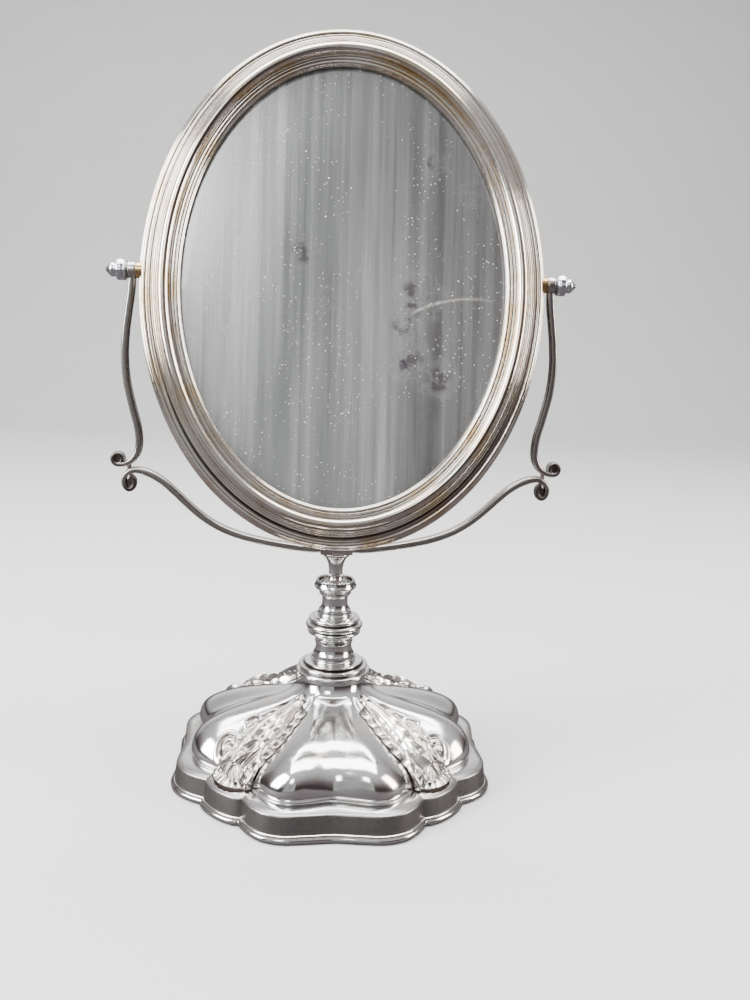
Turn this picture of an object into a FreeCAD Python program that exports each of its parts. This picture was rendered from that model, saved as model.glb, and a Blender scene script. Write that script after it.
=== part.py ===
import FreeCAD, Part
import math
import os

import Sketcher

# Table mirror: an oval mirror that tilts between the eyes of a scrolled yoke,
# on a turned stem and a lobed, weighted base.
# +Z is up, the mirror looks towards -Y, and the origin is under the middle of the base.
# The head is drawn upright about its pivot axis, then leaned back.

doc = FreeCAD.newDocument("table_mirror")

DIMENSIONS = [
    # whole object
    ("pivot_height", 286.0), ("lean_back", 12.0),
    # base
    ("felt_thickness", 1.0), ("rim_lift", 0.3), ("rim_height", 3.6), ("rim_overhang", 1.9),
    ("ledge_level", 16.6), ("base_top", 59.5), ("sheet_thickness", 1.3),
    ("plate_thickness", 1.2), ("weight_radius", 56.0), ("weight_height", 12.0), ("weight_bore", 11.0),
    ("plate_screw_circle", 44.0), ("plate_screw_radius", 1.6), ("plate_screw_length", 8.0),
    ("plate_screw_head", 3.0),
    # tie rod
    ("rod_radius", 3.0), ("rod_bore", 3.2), ("rod_foot", 49.0), ("rod_top", 134.5),
    ("rod_nut_radius", 5.6), ("rod_nut_height", 5.0), ("rod_washer_radius", 10.0),
    ("rod_washer_height", 1.2),
    # stem
    ("collar_radius", 21.7), ("collar_top", 67.0), ("lower_vase_radius", 12.2), ("lower_vase_top", 80.5),
    ("knop_radius", 16.5), ("knop_top", 94.5), ("upper_vase_radius", 9.3), ("upper_vase_top", 106.0),
    ("cup_radius", 12.1), ("cup_top", 116.0), ("trumpet_waist", 4.1), ("trumpet_radius", 7.8),
    ("hub_foot", 131.5), ("hub_height", 4.5), ("hub_half_width", 9.2), ("hub_depth", 10.0),
    # yoke
    ("bar_thickness", 4.0), ("bar_depth", 6.4), ("eye_radius", 4.7), ("eye_inner_face", 111.2),
    ("eye_thickness", 4.4), ("bush_radius", 2.9), ("bush_bore", 1.97), ("bush_flange_radius", 4.2),
    ("bush_flange", 0.5), ("rivet_radius", 1.2),
    # pivots
    ("stud_radius", 1.9), ("stud_inner_end", 98.0), ("stud_outer_end", 121.8),
    ("boss_radius", 4.3), ("boss_shank_radius", 3.0), ("boss_inner_end", 98.0), ("boss_step", 105.8),
    ("boss_face", 110.6), ("spring_washer_face", 115.75), ("spring_washer_thickness", 0.4),
    ("spring_washer_radius", 4.4), ("thumb_nut_face", 116.3), ("thumb_nut_radius", 5.8),
    ("thumb_nut_bore", 1.95), ("thumb_nut_length", 11.2), ("thumb_nut_bore_depth", 6.2),
    # mirror head: the oval lip, and depths in front of the pivot axis
    ("lip_half_width", 87.0), ("lip_half_height", 118.0), ("oval_drop", 7.0),
    ("lip_front", 9.0), ("lip_back", 5.1), ("rim_back", -8.0), ("rim_width", 23.0),
    ("glass_thickness", 3.0), ("glass_margin", 3.5), ("liner_inner", 4.8), ("liner_outer", 18.4),
    ("liner_front", 2.0), ("liner_back", -4.5), ("panel_outer", 20.6), ("panel_thickness", 2.8),
    ("panel_screw_radius", 1.3), ("panel_screw_head", 2.6), ("panel_screw_length", 5.0),
    ("panel_screw_crown", 1.2),
]

sheet = doc.addObject("Spreadsheet::Sheet", "dims")
for row, (alias, value) in enumerate(DIMENSIONS, start=1):
    sheet.set("A%d" % row, alias)
    sheet.set("B%d" % row, str(value))
    sheet.setAlias("B%d" % row, alias)
doc.recompute()


class Dim:
    """A size that knows its value and the spreadsheet expression it comes from."""

    def __init__(self, value, text):
        self.value = float(value)
        self.text = text

    @staticmethod
    def of(other):
        return other if isinstance(other, Dim) else Dim(other, repr(float(other)))

    def combine(self, sign, other, value):
        return Dim(value, "(%s %s %s)" % (self.text, sign, other.text))

    def __add__(self, other):
        other = Dim.of(other)
        return self.combine("+", other, self.value + other.value)

    def __sub__(self, other):
        other = Dim.of(other)
        return self.combine("-", other, self.value - other.value)

    def __mul__(self, other):
        other = Dim.of(other)
        return self.combine("*", other, self.value * other.value)

    def __radd__(self, other):
        return Dim.of(other) + self

    def __rsub__(self, other):
        return Dim.of(other) - self

    def __neg__(self):
        return Dim(-self.value, "(0 - %s)" % self.text)


class Dimensions:
    """The spreadsheet's cells as attributes: size.pivot_height and so on."""


size = Dimensions()
for alias, value in DIMENSIONS:
    setattr(size, alias, Dim(value, "dims." + alias))

SUBPARTS = []
SIDES = (("left", -1), ("right", 1))


def bind(obj, prop, dim):
    """Set a property and tie it to the spreadsheet."""
    obj.setExpression(prop, Dim.of(dim).text)


def subpart(obj, label):
    obj.Label = label
    SUBPARTS.append(obj)
    return obj


# ---------------------------------------------------------------- sketches

def cap_bulge(radius, height):
    """How far the profile of a spherical cap stands off its chord, from the rim in to the pole."""
    sphere = (radius ** 2 + height ** 2) / (2.0 * height)
    return math.sqrt(sphere ** 2 - (radius ** 2 + height ** 2) / 4.0) - sphere


def goes_clockwise(step):
    """An arc that bulges to the left of its travel runs clockwise."""
    return len(step) == 3 and step[2] > 0


def end_of(step):
    return 1 if goes_clockwise(step) else 2


def start_of(step):
    return 2 if goes_clockwise(step) else 1


def arc_between(start, end, bulge):
    """The anticlockwise arc over a chord, at a given height to the left of the travel."""
    chord = end - start
    left = FreeCAD.Vector(-chord.y, chord.x, 0).normalize()
    radius = (chord.Length ** 2 / 4.0 + bulge ** 2) / (2.0 * abs(bulge))
    side = 1.0 if bulge > 0 else -1.0
    centre = (start + end) * 0.5 + left * (bulge - side * radius)
    first, last = (end, start) if bulge > 0 else (start, end)
    angles = [math.atan2(point.y - centre.y, point.x - centre.x) for point in (first, last)]
    if angles[1] < angles[0]:
        angles[1] += 2.0 * math.pi
    circle = Part.Circle(centre, FreeCAD.Vector(0, 0, 1), radius)
    return Part.ArcOfCircle(circle, angles[0], angles[1])


def pin(sketch, kind, index, point, dim):
    """Tie one coordinate of a corner to the spreadsheet; zero lies on the axis."""
    if abs(dim.value) < 1e-9:
        axis = -2 if kind == "DistanceX" else -1
        sketch.addConstraint(Sketcher.Constraint("PointOnObject", index, point, axis))
        return
    number = sketch.addConstraint(Sketcher.Constraint(kind, -1, 1, index, point, dim.value))
    sketch.setExpression("Constraints[%d]" % number, dim.text)


def outline_sketch(sketch, steps):
    """Draw a closed outline whose corners are tied to the spreadsheet.

    A step is (x, y) for a line to that corner, or (x, y, bulge) for an arc to it, where bulge
    is the arc's height over its chord, positive to the left of the direction of travel.
    """
    corners = [(Dim.of(step[0]), Dim.of(step[1])) for step in steps]
    places = [FreeCAD.Vector(across.value, up.value, 0) for across, up in corners]
    for index, step in enumerate(steps):
        if len(step) == 3:
            sketch.addGeometry(arc_between(places[index - 1], places[index], step[2]), False)
        else:
            sketch.addGeometry(Part.LineSegment(places[index - 1], places[index]), False)
    for index, step in enumerate(steps):
        after = (index + 1) % len(steps)
        sketch.addConstraint(
            Sketcher.Constraint("Coincident", index, end_of(step), after, start_of(steps[after])))
    for index, step in enumerate(steps):
        pin(sketch, "DistanceX", index, end_of(step), corners[index][0])
        pin(sketch, "DistanceY", index, end_of(step), corners[index][1])
        if len(step) == 3:
            sketch.addConstraint(Sketcher.Constraint("Radius", index, sketch.Geometry[index].Radius))


def origin_plane(body, role):
    return next(item for item in body.Origin.OriginFeatures if item.Role == role)


def sketch_on(body, role, name, steps):
    sketch = body.newObject("Sketcher::SketchObject", name)
    sketch.AttachmentSupport = [(origin_plane(body, role), "")]
    sketch.MapMode = "FlatFace"
    outline_sketch(sketch, steps)
    return sketch


def turned(name, steps):
    """A piece turned about its own Z axis from an outline of (radius, height) steps."""
    body = doc.addObject("PartDesign::Body", name)
    sketch = sketch_on(body, "XZ_Plane", name + "_outline", steps)
    revolution = body.newObject("PartDesign::Revolution", name + "_turning")
    revolution.Profile = sketch
    revolution.ReferenceAxis = (sketch, ["V_Axis"])
    revolution.Angle = 360.0
    body.Tip = revolution
    return body


def ring_steps(inner, outer, bottom, top):
    return [(inner, bottom), (outer, bottom), (outer, top), (inner, top)]


def along_pivot(obj, side):
    """Lay a piece turned about Z along the pivot axis, pointing outwards."""
    obj.Placement = FreeCAD.Placement(
        FreeCAD.Vector(0, 0, size.pivot_height.value),
        FreeCAD.Rotation(FreeCAD.Vector(0, 1, 0), 90.0 * side))
    bind(obj, "Placement.Base.z", size.pivot_height)
    return obj


def cylinder(name, radius, height, base=None):
    obj = doc.addObject("Part::Cylinder", name)
    bind(obj, "Radius", radius)
    bind(obj, "Height", height)
    if base is not None:
        bind(obj, "Placement.Base.z", base)
    return obj


def cut(name, base, tool):
    obj = doc.addObject("Part::Cut", name)
    obj.Base = base
    obj.Tool = tool
    return obj


def fused(name, pieces):
    obj = doc.addObject("Part::MultiFuse", name)
    obj.Shapes = pieces
    return obj


# ---------------------------------------------------------------- base outline

# One wide lobe: degrees from its middle, and radius. The middle is slightly hollow
# between two soft shoulders, and the lobe ends in a notch beside the corner lobe.
WIDE_LOBE = [(0.0, 86.0), (9.0, 88.4), (17.0, 91.9), (23.0, 92.2), (29.0, 89.3), (35.0, 84.6)]
CORNER_LOBE_RADIUS = 87.4

# How far outside that outline each layer's foot stands.
WALL_SPREAD = 1.6
RIM_SEAT = 1.45
PLATE_SPREAD = 1.3
FELT_SPREAD = 1.0

# How far a cutter runs past the face that it opens.
OVERRUN = 1.0


def lobed_wire(level, offset):
    """The base's outline at a level: four wide lobes and four small corner lobes."""
    half = WIDE_LOBE[1:]
    lobe = [(-angle, radius) for angle, radius in reversed(half)] + WIDE_LOBE
    edges = []
    for quarter in range(4):
        start = 90.0 * quarter
        points = [polar(start + angle, radius + offset, level) for angle, radius in lobe]
        curve = Part.BSplineCurve()
        curve.interpolate(points)
        edges.append(curve.toShape())
        notch_angle, notch_radius = WIDE_LOBE[-1]
        first = polar(start + notch_angle, notch_radius + offset, level)
        middle = polar(start + 45.0, CORNER_LOBE_RADIUS + offset, level)
        last = polar(start + 90.0 - notch_angle, notch_radius + offset, level)
        edges.append(Part.Arc(first, middle, last).toShape())
    return Part.Wire(edges)


def polar(degrees, radius, level):
    """A point at an angle from the front, which is -Y, towards +X."""
    angle = math.radians(degrees)
    return FreeCAD.Vector(radius * math.sin(angle), -radius * math.cos(angle), level)


def lobed_slab(bottom, top, bottom_offset, top_offset):
    sections = [lobed_wire(bottom, bottom_offset), lobed_wire(top, top_offset)]
    return Part.makeLoft(sections, True, False)


# Level, radius of a lobe's two shoulders, how far its middle falls short of them, and radius
# along the hollow between two lobes: tall pillow lobes that draw in to a round bell neck.
BELL = [(16.0, 82.6, 7.8, 78.0), (20.0, 83.9, 8.3, 76.9), (25.0, 84.0, 9.4, 73.2),
        (30.0, 81.6, 10.6, 67.0), (34.0, 77.4, 12.0, 58.5), (37.0, 72.0, 13.0, 49.5),
        (39.5, 65.5, 13.0, 42.0), (41.5, 58.0, 12.0, 36.5), (43.2, 50.0, 10.0, 32.5),
        (44.8, 41.0, 7.0, 29.4), (46.4, 32.4, 3.8, 26.6), (48.4, 25.6, 1.4, 23.3),
        (51.0, 21.2, 0.3, 20.6), (54.5, 18.4, 0.0, 18.2), (59.5, 17.6, 0.0, 17.6)]
RIDGE_SHARPNESS = 1.6
BELL_POINTS = 32
DIP_RATE = 4.5

# The sloping bell is moved in a little further than a sheet's thickness.
BELL_EXTRA = 0.5


def bell_wire(level, shoulder, dip, hollow):
    """A closed curve of four lobes, each with two shoulders and a dip in its middle."""
    points = []
    for step in range(BELL_POINTS):
        degrees = 360.0 * step / BELL_POINTS
        lift = abs(math.cos(math.radians(2.0 * degrees)))
        towards_ridge = 0.5 + 0.5 * math.copysign(lift ** (1.0 / RIDGE_SHARPNESS),
                                                  math.cos(math.radians(4.0 * degrees)))
        off_middle = abs((degrees + 45.0) % 90.0 - 45.0)
        sunk = dip * math.cos(math.radians(min(DIP_RATE * off_middle, 90.0))) ** 2
        radius = hollow + (shoulder - hollow) * towards_ridge - sunk
        points.append(polar(degrees, radius, level))
    curve = Part.BSplineCurve()
    curve.interpolate(points, PeriodicFlag=True)
    return Part.Wire([curve.toShape()])


def bell(inset, drop):
    """The domed part of the base, moved in and down to make its inside."""
    sections = [bell_wire(level - drop, shoulder - inset, dip, hollow - inset)
                for level, shoulder, dip, hollow in BELL]
    return Part.makeLoft(sections, True, False)


def drilled(shape, radius, bottom, top):
    hole = Part.makeCylinder(radius, top - bottom, FreeCAD.Vector(0, 0, bottom))
    return shape.cut(hole)


def feature(label, shape):
    obj = doc.addObject("Part::Feature", label)
    obj.Shape = shape
    return subpart(obj, label)


def base_solid():
    slab = lobed_slab(size.felt_thickness.value + size.plate_thickness.value,
                      size.ledge_level.value, WALL_SPREAD, 0.0)
    return slab.fuse(bell(0.0, 0.0)).removeSplitter()


BASE_OUTSIDE = base_solid()


def base_shell():
    """The raised shell of the base: lobed wall, flat ledge, pillow lobes and bell neck."""
    wall = size.sheet_thickness.value
    floor = size.felt_thickness.value + size.plate_thickness.value
    inside = lobed_slab(floor - OVERRUN, size.ledge_level.value - wall, WALL_SPREAD - wall, -wall)
    inside = inside.fuse(bell(wall + BELL_EXTRA, wall))
    shell = BASE_OUTSIDE.cut(inside)
    neck_foot = size.rod_foot.value
    shell = drilled(shell, size.rod_bore.value, neck_foot, size.base_top.value + OVERRUN)
    feature("base_shell", shell)


def foot_rim():
    """The moulded wire round the foot of the wall."""
    bottom = size.rim_lift.value
    top = size.rim_height.value
    bulge = size.rim_overhang.value
    middle = (bottom + top) / 2.0
    lower = lobed_slab(bottom, middle, WALL_SPREAD + bulge * 0.6, WALL_SPREAD + bulge)
    upper = lobed_slab(middle, top, WALL_SPREAD + bulge, WALL_SPREAD + bulge * 0.3)
    ring = lower.fuse(upper)
    hollow = lobed_slab(bottom - OVERRUN, top + OVERRUN, RIM_SEAT, RIM_SEAT)
    feature("foot_rim", ring.cut(hollow).cut(BASE_OUTSIDE))


# The leaf ornament's outline seen from above: distance from the axis, and half width.
LEAF = [(24.0, 2.5), (33.0, 7.0), (45.0, 11.5), (58.0, 15.0), (70.0, 14.0), (79.0, 12.5), (83.5, 7.5)]
LEAF_RAISE = 2.2
LEAF_PRISM_HEIGHT = 70.0
LEAF_SINK = 2.0


def corner_mounts():
    """Four cast leaf-and-scroll ornaments, soldered over the hollows between the lobes."""
    left_edge = [FreeCAD.Vector(-half, -reach, 0) for reach, half in LEAF]
    right_edge = [FreeCAD.Vector(half, -reach, 0) for reach, half in reversed(LEAF)]
    sides = []
    for edge_points in (left_edge, right_edge):
        curve = Part.BSplineCurve()
        curve.interpolate(edge_points)
        sides.append(curve.toShape())
    foot = Part.makeLine(left_edge[-1], right_edge[0])
    head = Part.makeLine(right_edge[-1], left_edge[0])
    prism = Part.Face(Part.Wire([sides[0], foot, sides[1], head]))
    prism = prism.extrude(FreeCAD.Vector(0, 0, LEAF_PRISM_HEIGHT))
    raised = bell(-LEAF_RAISE, -LEAF_RAISE)
    ledge = size.ledge_level.value
    slab = lobed_slab(ledge - LEAF_SINK, ledge + LEAF_RAISE, 0.0, -1.0)
    layer = raised.fuse(slab).cut(BASE_OUTSIDE)
    names = ("front_right", "back_right", "back_left", "front_left")
    for number, name in enumerate(names):
        turned_prism = prism.copy()
        turned_prism.rotate(FreeCAD.Vector(0, 0, 0), FreeCAD.Vector(0, 0, 1), 45.0 + 90.0 * number)
        piece = layer.common(turned_prism)
        largest = max(piece.Solids, key=lambda solid: solid.Volume)
        feature("corner_mount_" + name, largest)


PLATE_SCREW_SINK = 1.0


def base_closing():
    """The weight, the plate under it with its screws, and the felt that everything rests on."""
    felt_top = size.felt_thickness.value
    plate_top = felt_top + size.plate_thickness.value
    plate = lobed_slab(felt_top, plate_top, PLATE_SPREAD, PLATE_SPREAD)
    hole_radius = size.plate_screw_radius.value
    circle = size.plate_screw_circle.value
    screws = []
    for quarter in range(4):
        centre = polar(45.0 + 90.0 * quarter, circle, felt_top)
        shank = Part.makeCylinder(hole_radius, size.plate_screw_length.value, centre)
        head = Part.makeCone(size.plate_screw_head.value, hole_radius, PLATE_SCREW_SINK, centre)
        screws.append(shank.fuse(head))
    screw_set = Part.makeCompound(screws)
    feature("bottom_plate", plate.cut(screw_set))
    feature("plate_screws", screw_set)
    felt = lobed_slab(0.0, felt_top, FELT_SPREAD, FELT_SPREAD)
    feature("felt_pad", felt)
    weight = Part.makeCylinder(size.weight_radius.value, size.weight_height.value,
                               FreeCAD.Vector(0, 0, plate_top))
    weight = drilled(weight, size.weight_bore.value, felt_top, plate_top + 2.0 * size.weight_height.value)
    feature("base_weight", weight.cut(screw_set))


def tie_rod():
    """The threaded rod that clamps the stem, with its nut and washer inside the neck."""
    rod = cylinder("tie_rod", size.rod_radius, size.rod_top - size.rod_foot, size.rod_foot)
    subpart(rod, "tie_rod")
    washer_top = size.base_top - size.sheet_thickness
    washer_foot = washer_top - size.rod_washer_height
    washer = turned("tie_rod_washer",
                    ring_steps(size.rod_radius, size.rod_washer_radius, washer_foot, washer_top))
    subpart(washer, "tie_rod_washer")
    nut = doc.addObject("Part::Prism", "nut_blank")
    nut.Polygon = 6
    bind(nut, "Circumradius", size.rod_nut_radius)
    bind(nut, "Height", size.rod_nut_height)
    bind(nut, "Placement.Base.z", washer_foot - size.rod_nut_height)
    bore = cylinder("nut_bore", size.rod_radius, size.rod_nut_height, washer_foot - size.rod_nut_height)
    subpart(cut("tie_rod_nut", nut, bore), "tie_rod_nut")


# ---------------------------------------------------------------- stem

def stem():
    """Six turned pieces stacked on the tie rod."""
    bore = size.rod_bore
    collar = size.collar_radius
    foot = size.base_top
    subpart(turned("collar_ring", [
        (bore, foot), (collar - 2.6, foot), (collar, foot + 2.6, -1.0), (collar - 1.6, foot + 3.4),
        (collar - 1.3, foot + 4.8, -0.7), (collar - 4.6, foot + 5.5), (collar - 5.6, foot + 6.2),
        (collar - 5.0, size.collar_top, -0.4), (bore, size.collar_top)]), "collar_ring")
    vase = size.lower_vase_radius
    foot = size.collar_top
    subpart(turned("lower_vase", [
        (bore, foot), (vase, foot), (vase, foot + 1.8, -0.5), (vase - 0.6, foot + 4.6, 0.2),
        (vase - 2.2, foot + 9.6, 0.5), (vase - 2.4, foot + 11.4), (vase - 1.8, size.lower_vase_top, -0.4),
        (bore, size.lower_vase_top)]), "lower_vase")
    knop = size.knop_radius
    foot = size.lower_vase_top
    subpart(turned("centre_knop", [
        (bore, foot), (knop - 6.0, foot), (knop - 3.6, foot + 3.0, 0.5), (knop - 1.3, foot + 4.4, -0.5),
        (knop - 1.8, foot + 6.2), (knop, foot + 8.6, -0.9), (knop - 1.6, foot + 10.4),
        (knop - 2.3, foot + 12.6, -0.6), (knop - 4.6, size.knop_top), (bore, size.knop_top)]), "centre_knop")
    vase = size.upper_vase_radius
    foot = size.knop_top
    subpart(turned("upper_vase", [
        (bore, foot), (vase + 0.3, foot), (vase, foot + 1.6, -0.4), (vase - 0.3, foot + 3.4),
        (vase - 2.2, foot + 8.2, 0.6), (vase - 2.0, size.upper_vase_top), (bore, size.upper_vase_top)]),
        "upper_vase")
    cup = size.cup_radius
    foot = size.upper_vase_top
    subpart(turned("cup_ring", [
        (bore, foot), (cup - 4.4, foot), (cup - 3.0, foot + 2.6, -0.5), (cup - 2.3, foot + 4.2),
        (cup, foot + 6.2, -0.5), (cup - 1.2, size.cup_top, -0.5), (cup - 2.6, size.cup_top - 0.4),
        (cup - 4.6, size.cup_top - 3.0, 0.4), (bore, size.cup_top - 3.0)]), "cup_ring")
    waist = size.trumpet_waist
    foot = size.cup_top - 3.0
    subpart(turned("stem_trumpet", [
        (bore, foot), (waist + 2.6, foot), (waist + 2.6, foot + 1.8, -0.6), (waist, foot + 6.4, 0.9),
        (waist + 2.4, foot + 16.6, 0.9), (size.trumpet_radius, size.hub_foot, 0.2),
        (bore, size.hub_foot)]), "stem_trumpet")


# ---------------------------------------------------------------- yoke

def smooth_curve(points):
    curve = Part.BSplineCurve()
    curve.interpolate([FreeCAD.Vector(across, 0, level) for across, level in points])
    return curve


def bar_along(points):
    """A flat bar bent along a curve that lies in the plane of the yoke."""
    curve = smooth_curve(points)
    start = curve.StartPoint
    tangent = curve.tangent(curve.FirstParameter)[0]
    half_thick = size.bar_thickness.value / 2.0
    half_deep = size.bar_depth.value / 2.0
    normal = FreeCAD.Vector(tangent.z, 0, -tangent.x) * half_thick
    depth = FreeCAD.Vector(0, half_deep, 0)
    corners = [start + normal + depth, start - normal + depth,
               start - normal - depth, start + normal - depth]
    section = Part.makePolygon(corners + corners[:1])
    return Part.Wire([curve.toShape()]).makePipeShell([section], True, False)


# The arms on the right, as (distance from the middle, level); the left arms mirror them.
UPPER_ARM = [(113.4, 281.8), (114.0, 275.0), (115.4, 266.0), (117.2, 253.0), (118.0, 241.0),
             (117.1, 227.0), (114.3, 213.0), (111.5, 201.0), (110.9, 192.0), (112.1, 187.0),
             (115.0, 182.5), (118.5, 180.6), (122.4, 181.3)]
LOWER_ARM = [(9.2, 133.9), (16.0, 133.9), (30.0, 135.6), (45.0, 138.3), (55.0, 140.9), (66.0, 145.2),
             (76.0, 151.4), (84.0, 158.2), (91.0, 165.0), (98.0, 171.2), (105.0, 175.4), (110.5, 177.2),
             (114.6, 177.6), (117.9, 176.1), (119.4, 172.6)]

# The rolled-up end of each arm: its middle and its outer radius.
UPPER_ROLL = ((122.4, 183.6), 4.2)
LOWER_ROLL = ((115.9, 170.1), 5.4)
ROLL_OPENING = 1.3


def rolled(bar, roll):
    """A bar with its end rolled up round a small opening."""
    (across, level), radius = roll
    depth = size.bar_depth.value
    front = FreeCAD.Vector(across, depth / -2.0, level)
    backwards = FreeCAD.Vector(0, 1, 0)
    coil = Part.makeCylinder(radius, depth, front, backwards)
    opening = Part.makeCylinder(ROLL_OPENING, depth, front, backwards)
    return bar.fuse(coil).cut(opening)


# The rivet stands where the two arms touch.
RIVET_FOOT = FreeCAD.Vector(116.6, 0, 174.2)
RIVET_LENGTH = 8.0

MIDDLE = FreeCAD.Vector(0, 0, 0)
ACROSS = FreeCAD.Vector(1, 0, 0)


def yoke_arms():
    """On each side a lower and an upper scrolled arm, riveted where the scrolls touch."""
    eye_level = size.pivot_height.value
    inner_face = size.eye_inner_face.value
    thickness = size.eye_thickness.value
    outwards = FreeCAD.Vector(1, 0, 0)
    disc = Part.makeCylinder(size.eye_radius.value, thickness,
                             FreeCAD.Vector(inner_face, 0, eye_level), outwards)
    hole = Part.makeCylinder(size.bush_radius.value, thickness + 2.0 * OVERRUN,
                             FreeCAD.Vector(inner_face - OVERRUN, 0, eye_level), outwards)
    rivet = Part.makeCylinder(size.rivet_radius.value, RIVET_LENGTH, RIVET_FOOT)
    lower = rolled(bar_along(LOWER_ARM), LOWER_ROLL)
    upper = rolled(bar_along(UPPER_ARM), UPPER_ROLL).fuse(disc).cut(hole).cut(lower)
    for name, side in SIDES:
        for label, shape in (("upper_arm_", upper.cut(rivet)), ("lower_arm_", lower.cut(rivet)),
                             ("arm_rivet_", rivet)):
            feature(label + name, shape.mirror(MIDDLE, ACROSS) if side < 0 else shape)


def yoke_hub():
    """The block that the lower arms meet in, screwed on to the tie rod."""
    block = doc.addObject("Part::Box", "hub_block")
    bind(block, "Length", size.hub_half_width * 2.0)
    bind(block, "Width", size.hub_depth)
    bind(block, "Height", size.hub_height)
    bind(block, "Placement.Base.x", -size.hub_half_width)
    bind(block, "Placement.Base.y", size.hub_depth * -0.5)
    bind(block, "Placement.Base.z", size.hub_foot)
    socket = cylinder("hub_socket", size.rod_radius, size.rod_top - size.hub_foot, size.hub_foot)
    subpart(cut("yoke_hub", block, socket), "yoke_hub")


# ---------------------------------------------------------------- pivots

def pivots():
    """On each side the boss in the frame, its stud, the bush in the eye, and the thumb nut."""
    for name, side in SIDES:
        boss = turned("pivot_boss_" + name, [
            (size.stud_radius, size.boss_inner_end), (size.boss_shank_radius, size.boss_inner_end),
            (size.boss_shank_radius, size.boss_step), (size.boss_radius, size.boss_step),
            (size.boss_radius, size.boss_face), (size.stud_radius, size.boss_face)])
        stud = turned("pivot_stud_" + name, ring_steps(0, size.stud_radius, size.stud_inner_end,
                                                       size.stud_outer_end))
        inner_face = size.eye_inner_face
        outer_face = inner_face + size.eye_thickness
        flange_face = inner_face - size.bush_flange
        bush = turned("eye_bush_" + name, [
            (size.bush_bore, flange_face), (size.bush_flange_radius, flange_face),
            (size.bush_flange_radius, inner_face), (size.bush_radius, inner_face),
            (size.bush_radius, outer_face), (size.bush_bore, outer_face)])
        washer = turned("spring_washer_" + name, ring_steps(
            size.stud_radius, size.spring_washer_radius, size.spring_washer_face,
            size.spring_washer_face + size.spring_washer_thickness))
        radius = size.thumb_nut_radius
        face = size.thumb_nut_face
        length = size.thumb_nut_length
        depth = face + size.thumb_nut_bore_depth
        tip_radius = radius - 3.4
        tip_height = 1.3
        nut = turned("thumb_nut_" + name, [
            (size.thumb_nut_bore, face), (radius - 1.2, face), (radius, face + 0.8, -0.2),
            (radius, face + 4.4), (radius - 0.8, face + 5.2, -0.2), (radius - 2.6, face + 5.5),
            (radius - 1.9, face + 6.6, -0.3), (tip_radius, face + length - tip_height, -0.45),
            (0, face + length, cap_bulge(tip_radius.value, tip_height)), (0, depth),
            (size.thumb_nut_bore, depth)])
        for obj in (boss, stud, bush, washer, nut):
            along_pivot(obj, side)
            subpart(obj, obj.Name)


# ---------------------------------------------------------------- mirror head

def lean(obj):
    """Stand a head piece on the pivot axis and lean it back."""
    obj.Placement = FreeCAD.Placement(
        FreeCAD.Vector(0, 0, size.pivot_height.value),
        FreeCAD.Rotation(FreeCAD.Vector(1, 0, 0), -size.lean_back.value))
    bind(obj, "Placement.Base.z", size.pivot_height)
    obj.setExpression("Placement.Rotation.Angle", "-dims.lean_back * 1 deg")
    return obj


def oval(name, margin, depth):
    """An oval like the mirror's lip but larger by a margin, at a depth behind the pivot axis."""
    ellipse = doc.addObject("Part::Ellipse", name)
    bind(ellipse, "MajorRadius", size.lip_half_height + margin)
    bind(ellipse, "MinorRadius", size.lip_half_width + margin)
    ellipse.Placement = FreeCAD.Placement(
        FreeCAD.Vector(0, 0, 0), FreeCAD.Rotation(FreeCAD.Vector(1, 1, 1), 240.0))
    bind(ellipse, "Placement.Base.y", depth)
    bind(ellipse, "Placement.Base.z", -size.oval_drop)
    return ellipse


def oval_plate(name, margin, front, thickness):
    """An oval plate whose front face is at a depth behind the pivot axis."""
    plate = doc.addObject("Part::Extrusion", name)
    plate.Base = oval(name + "_edge", margin, front)
    plate.DirMode = "Custom"
    plate.Dir = FreeCAD.Vector(0, 1, 0)
    plate.Solid = True
    bind(plate, "LengthFwd", thickness)
    return plate


def section_point(outward, forward, *bulge):
    """A corner of a frame section: distance out from the lip's edge, and forward of the axis."""
    return (-Dim.of(forward), size.lip_half_height - size.oval_drop + outward) + bulge


def oval_ring(name, corners):
    """The solid of a moulding swept round the mirror, from its section at the top of the oval."""
    section = doc.addObject("Sketcher::SketchObject", name + "_section")
    section.Placement = FreeCAD.Placement(
        FreeCAD.Vector(0, 0, 0), FreeCAD.Rotation(FreeCAD.Vector(1, 1, 1), 120.0))
    outline_sketch(section, [section_point(*corner) for corner in corners])
    path = oval(name + "_path", 0, 0)
    doc.recompute()
    return Part.Wire(path.Shape.Edges).makePipeShell([Part.Wire(section.Shape.Edges)], True, False)


def pivot_holes(radius, start, finish):
    """The cutters for a hole on both sides, along the pivot axis."""
    return [Part.makeCylinder(radius.value, (finish - start).value,
                              FreeCAD.Vector(side * start.value, 0, 0), FreeCAD.Vector(side, 0, 0))
            for _, side in SIDES]


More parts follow.
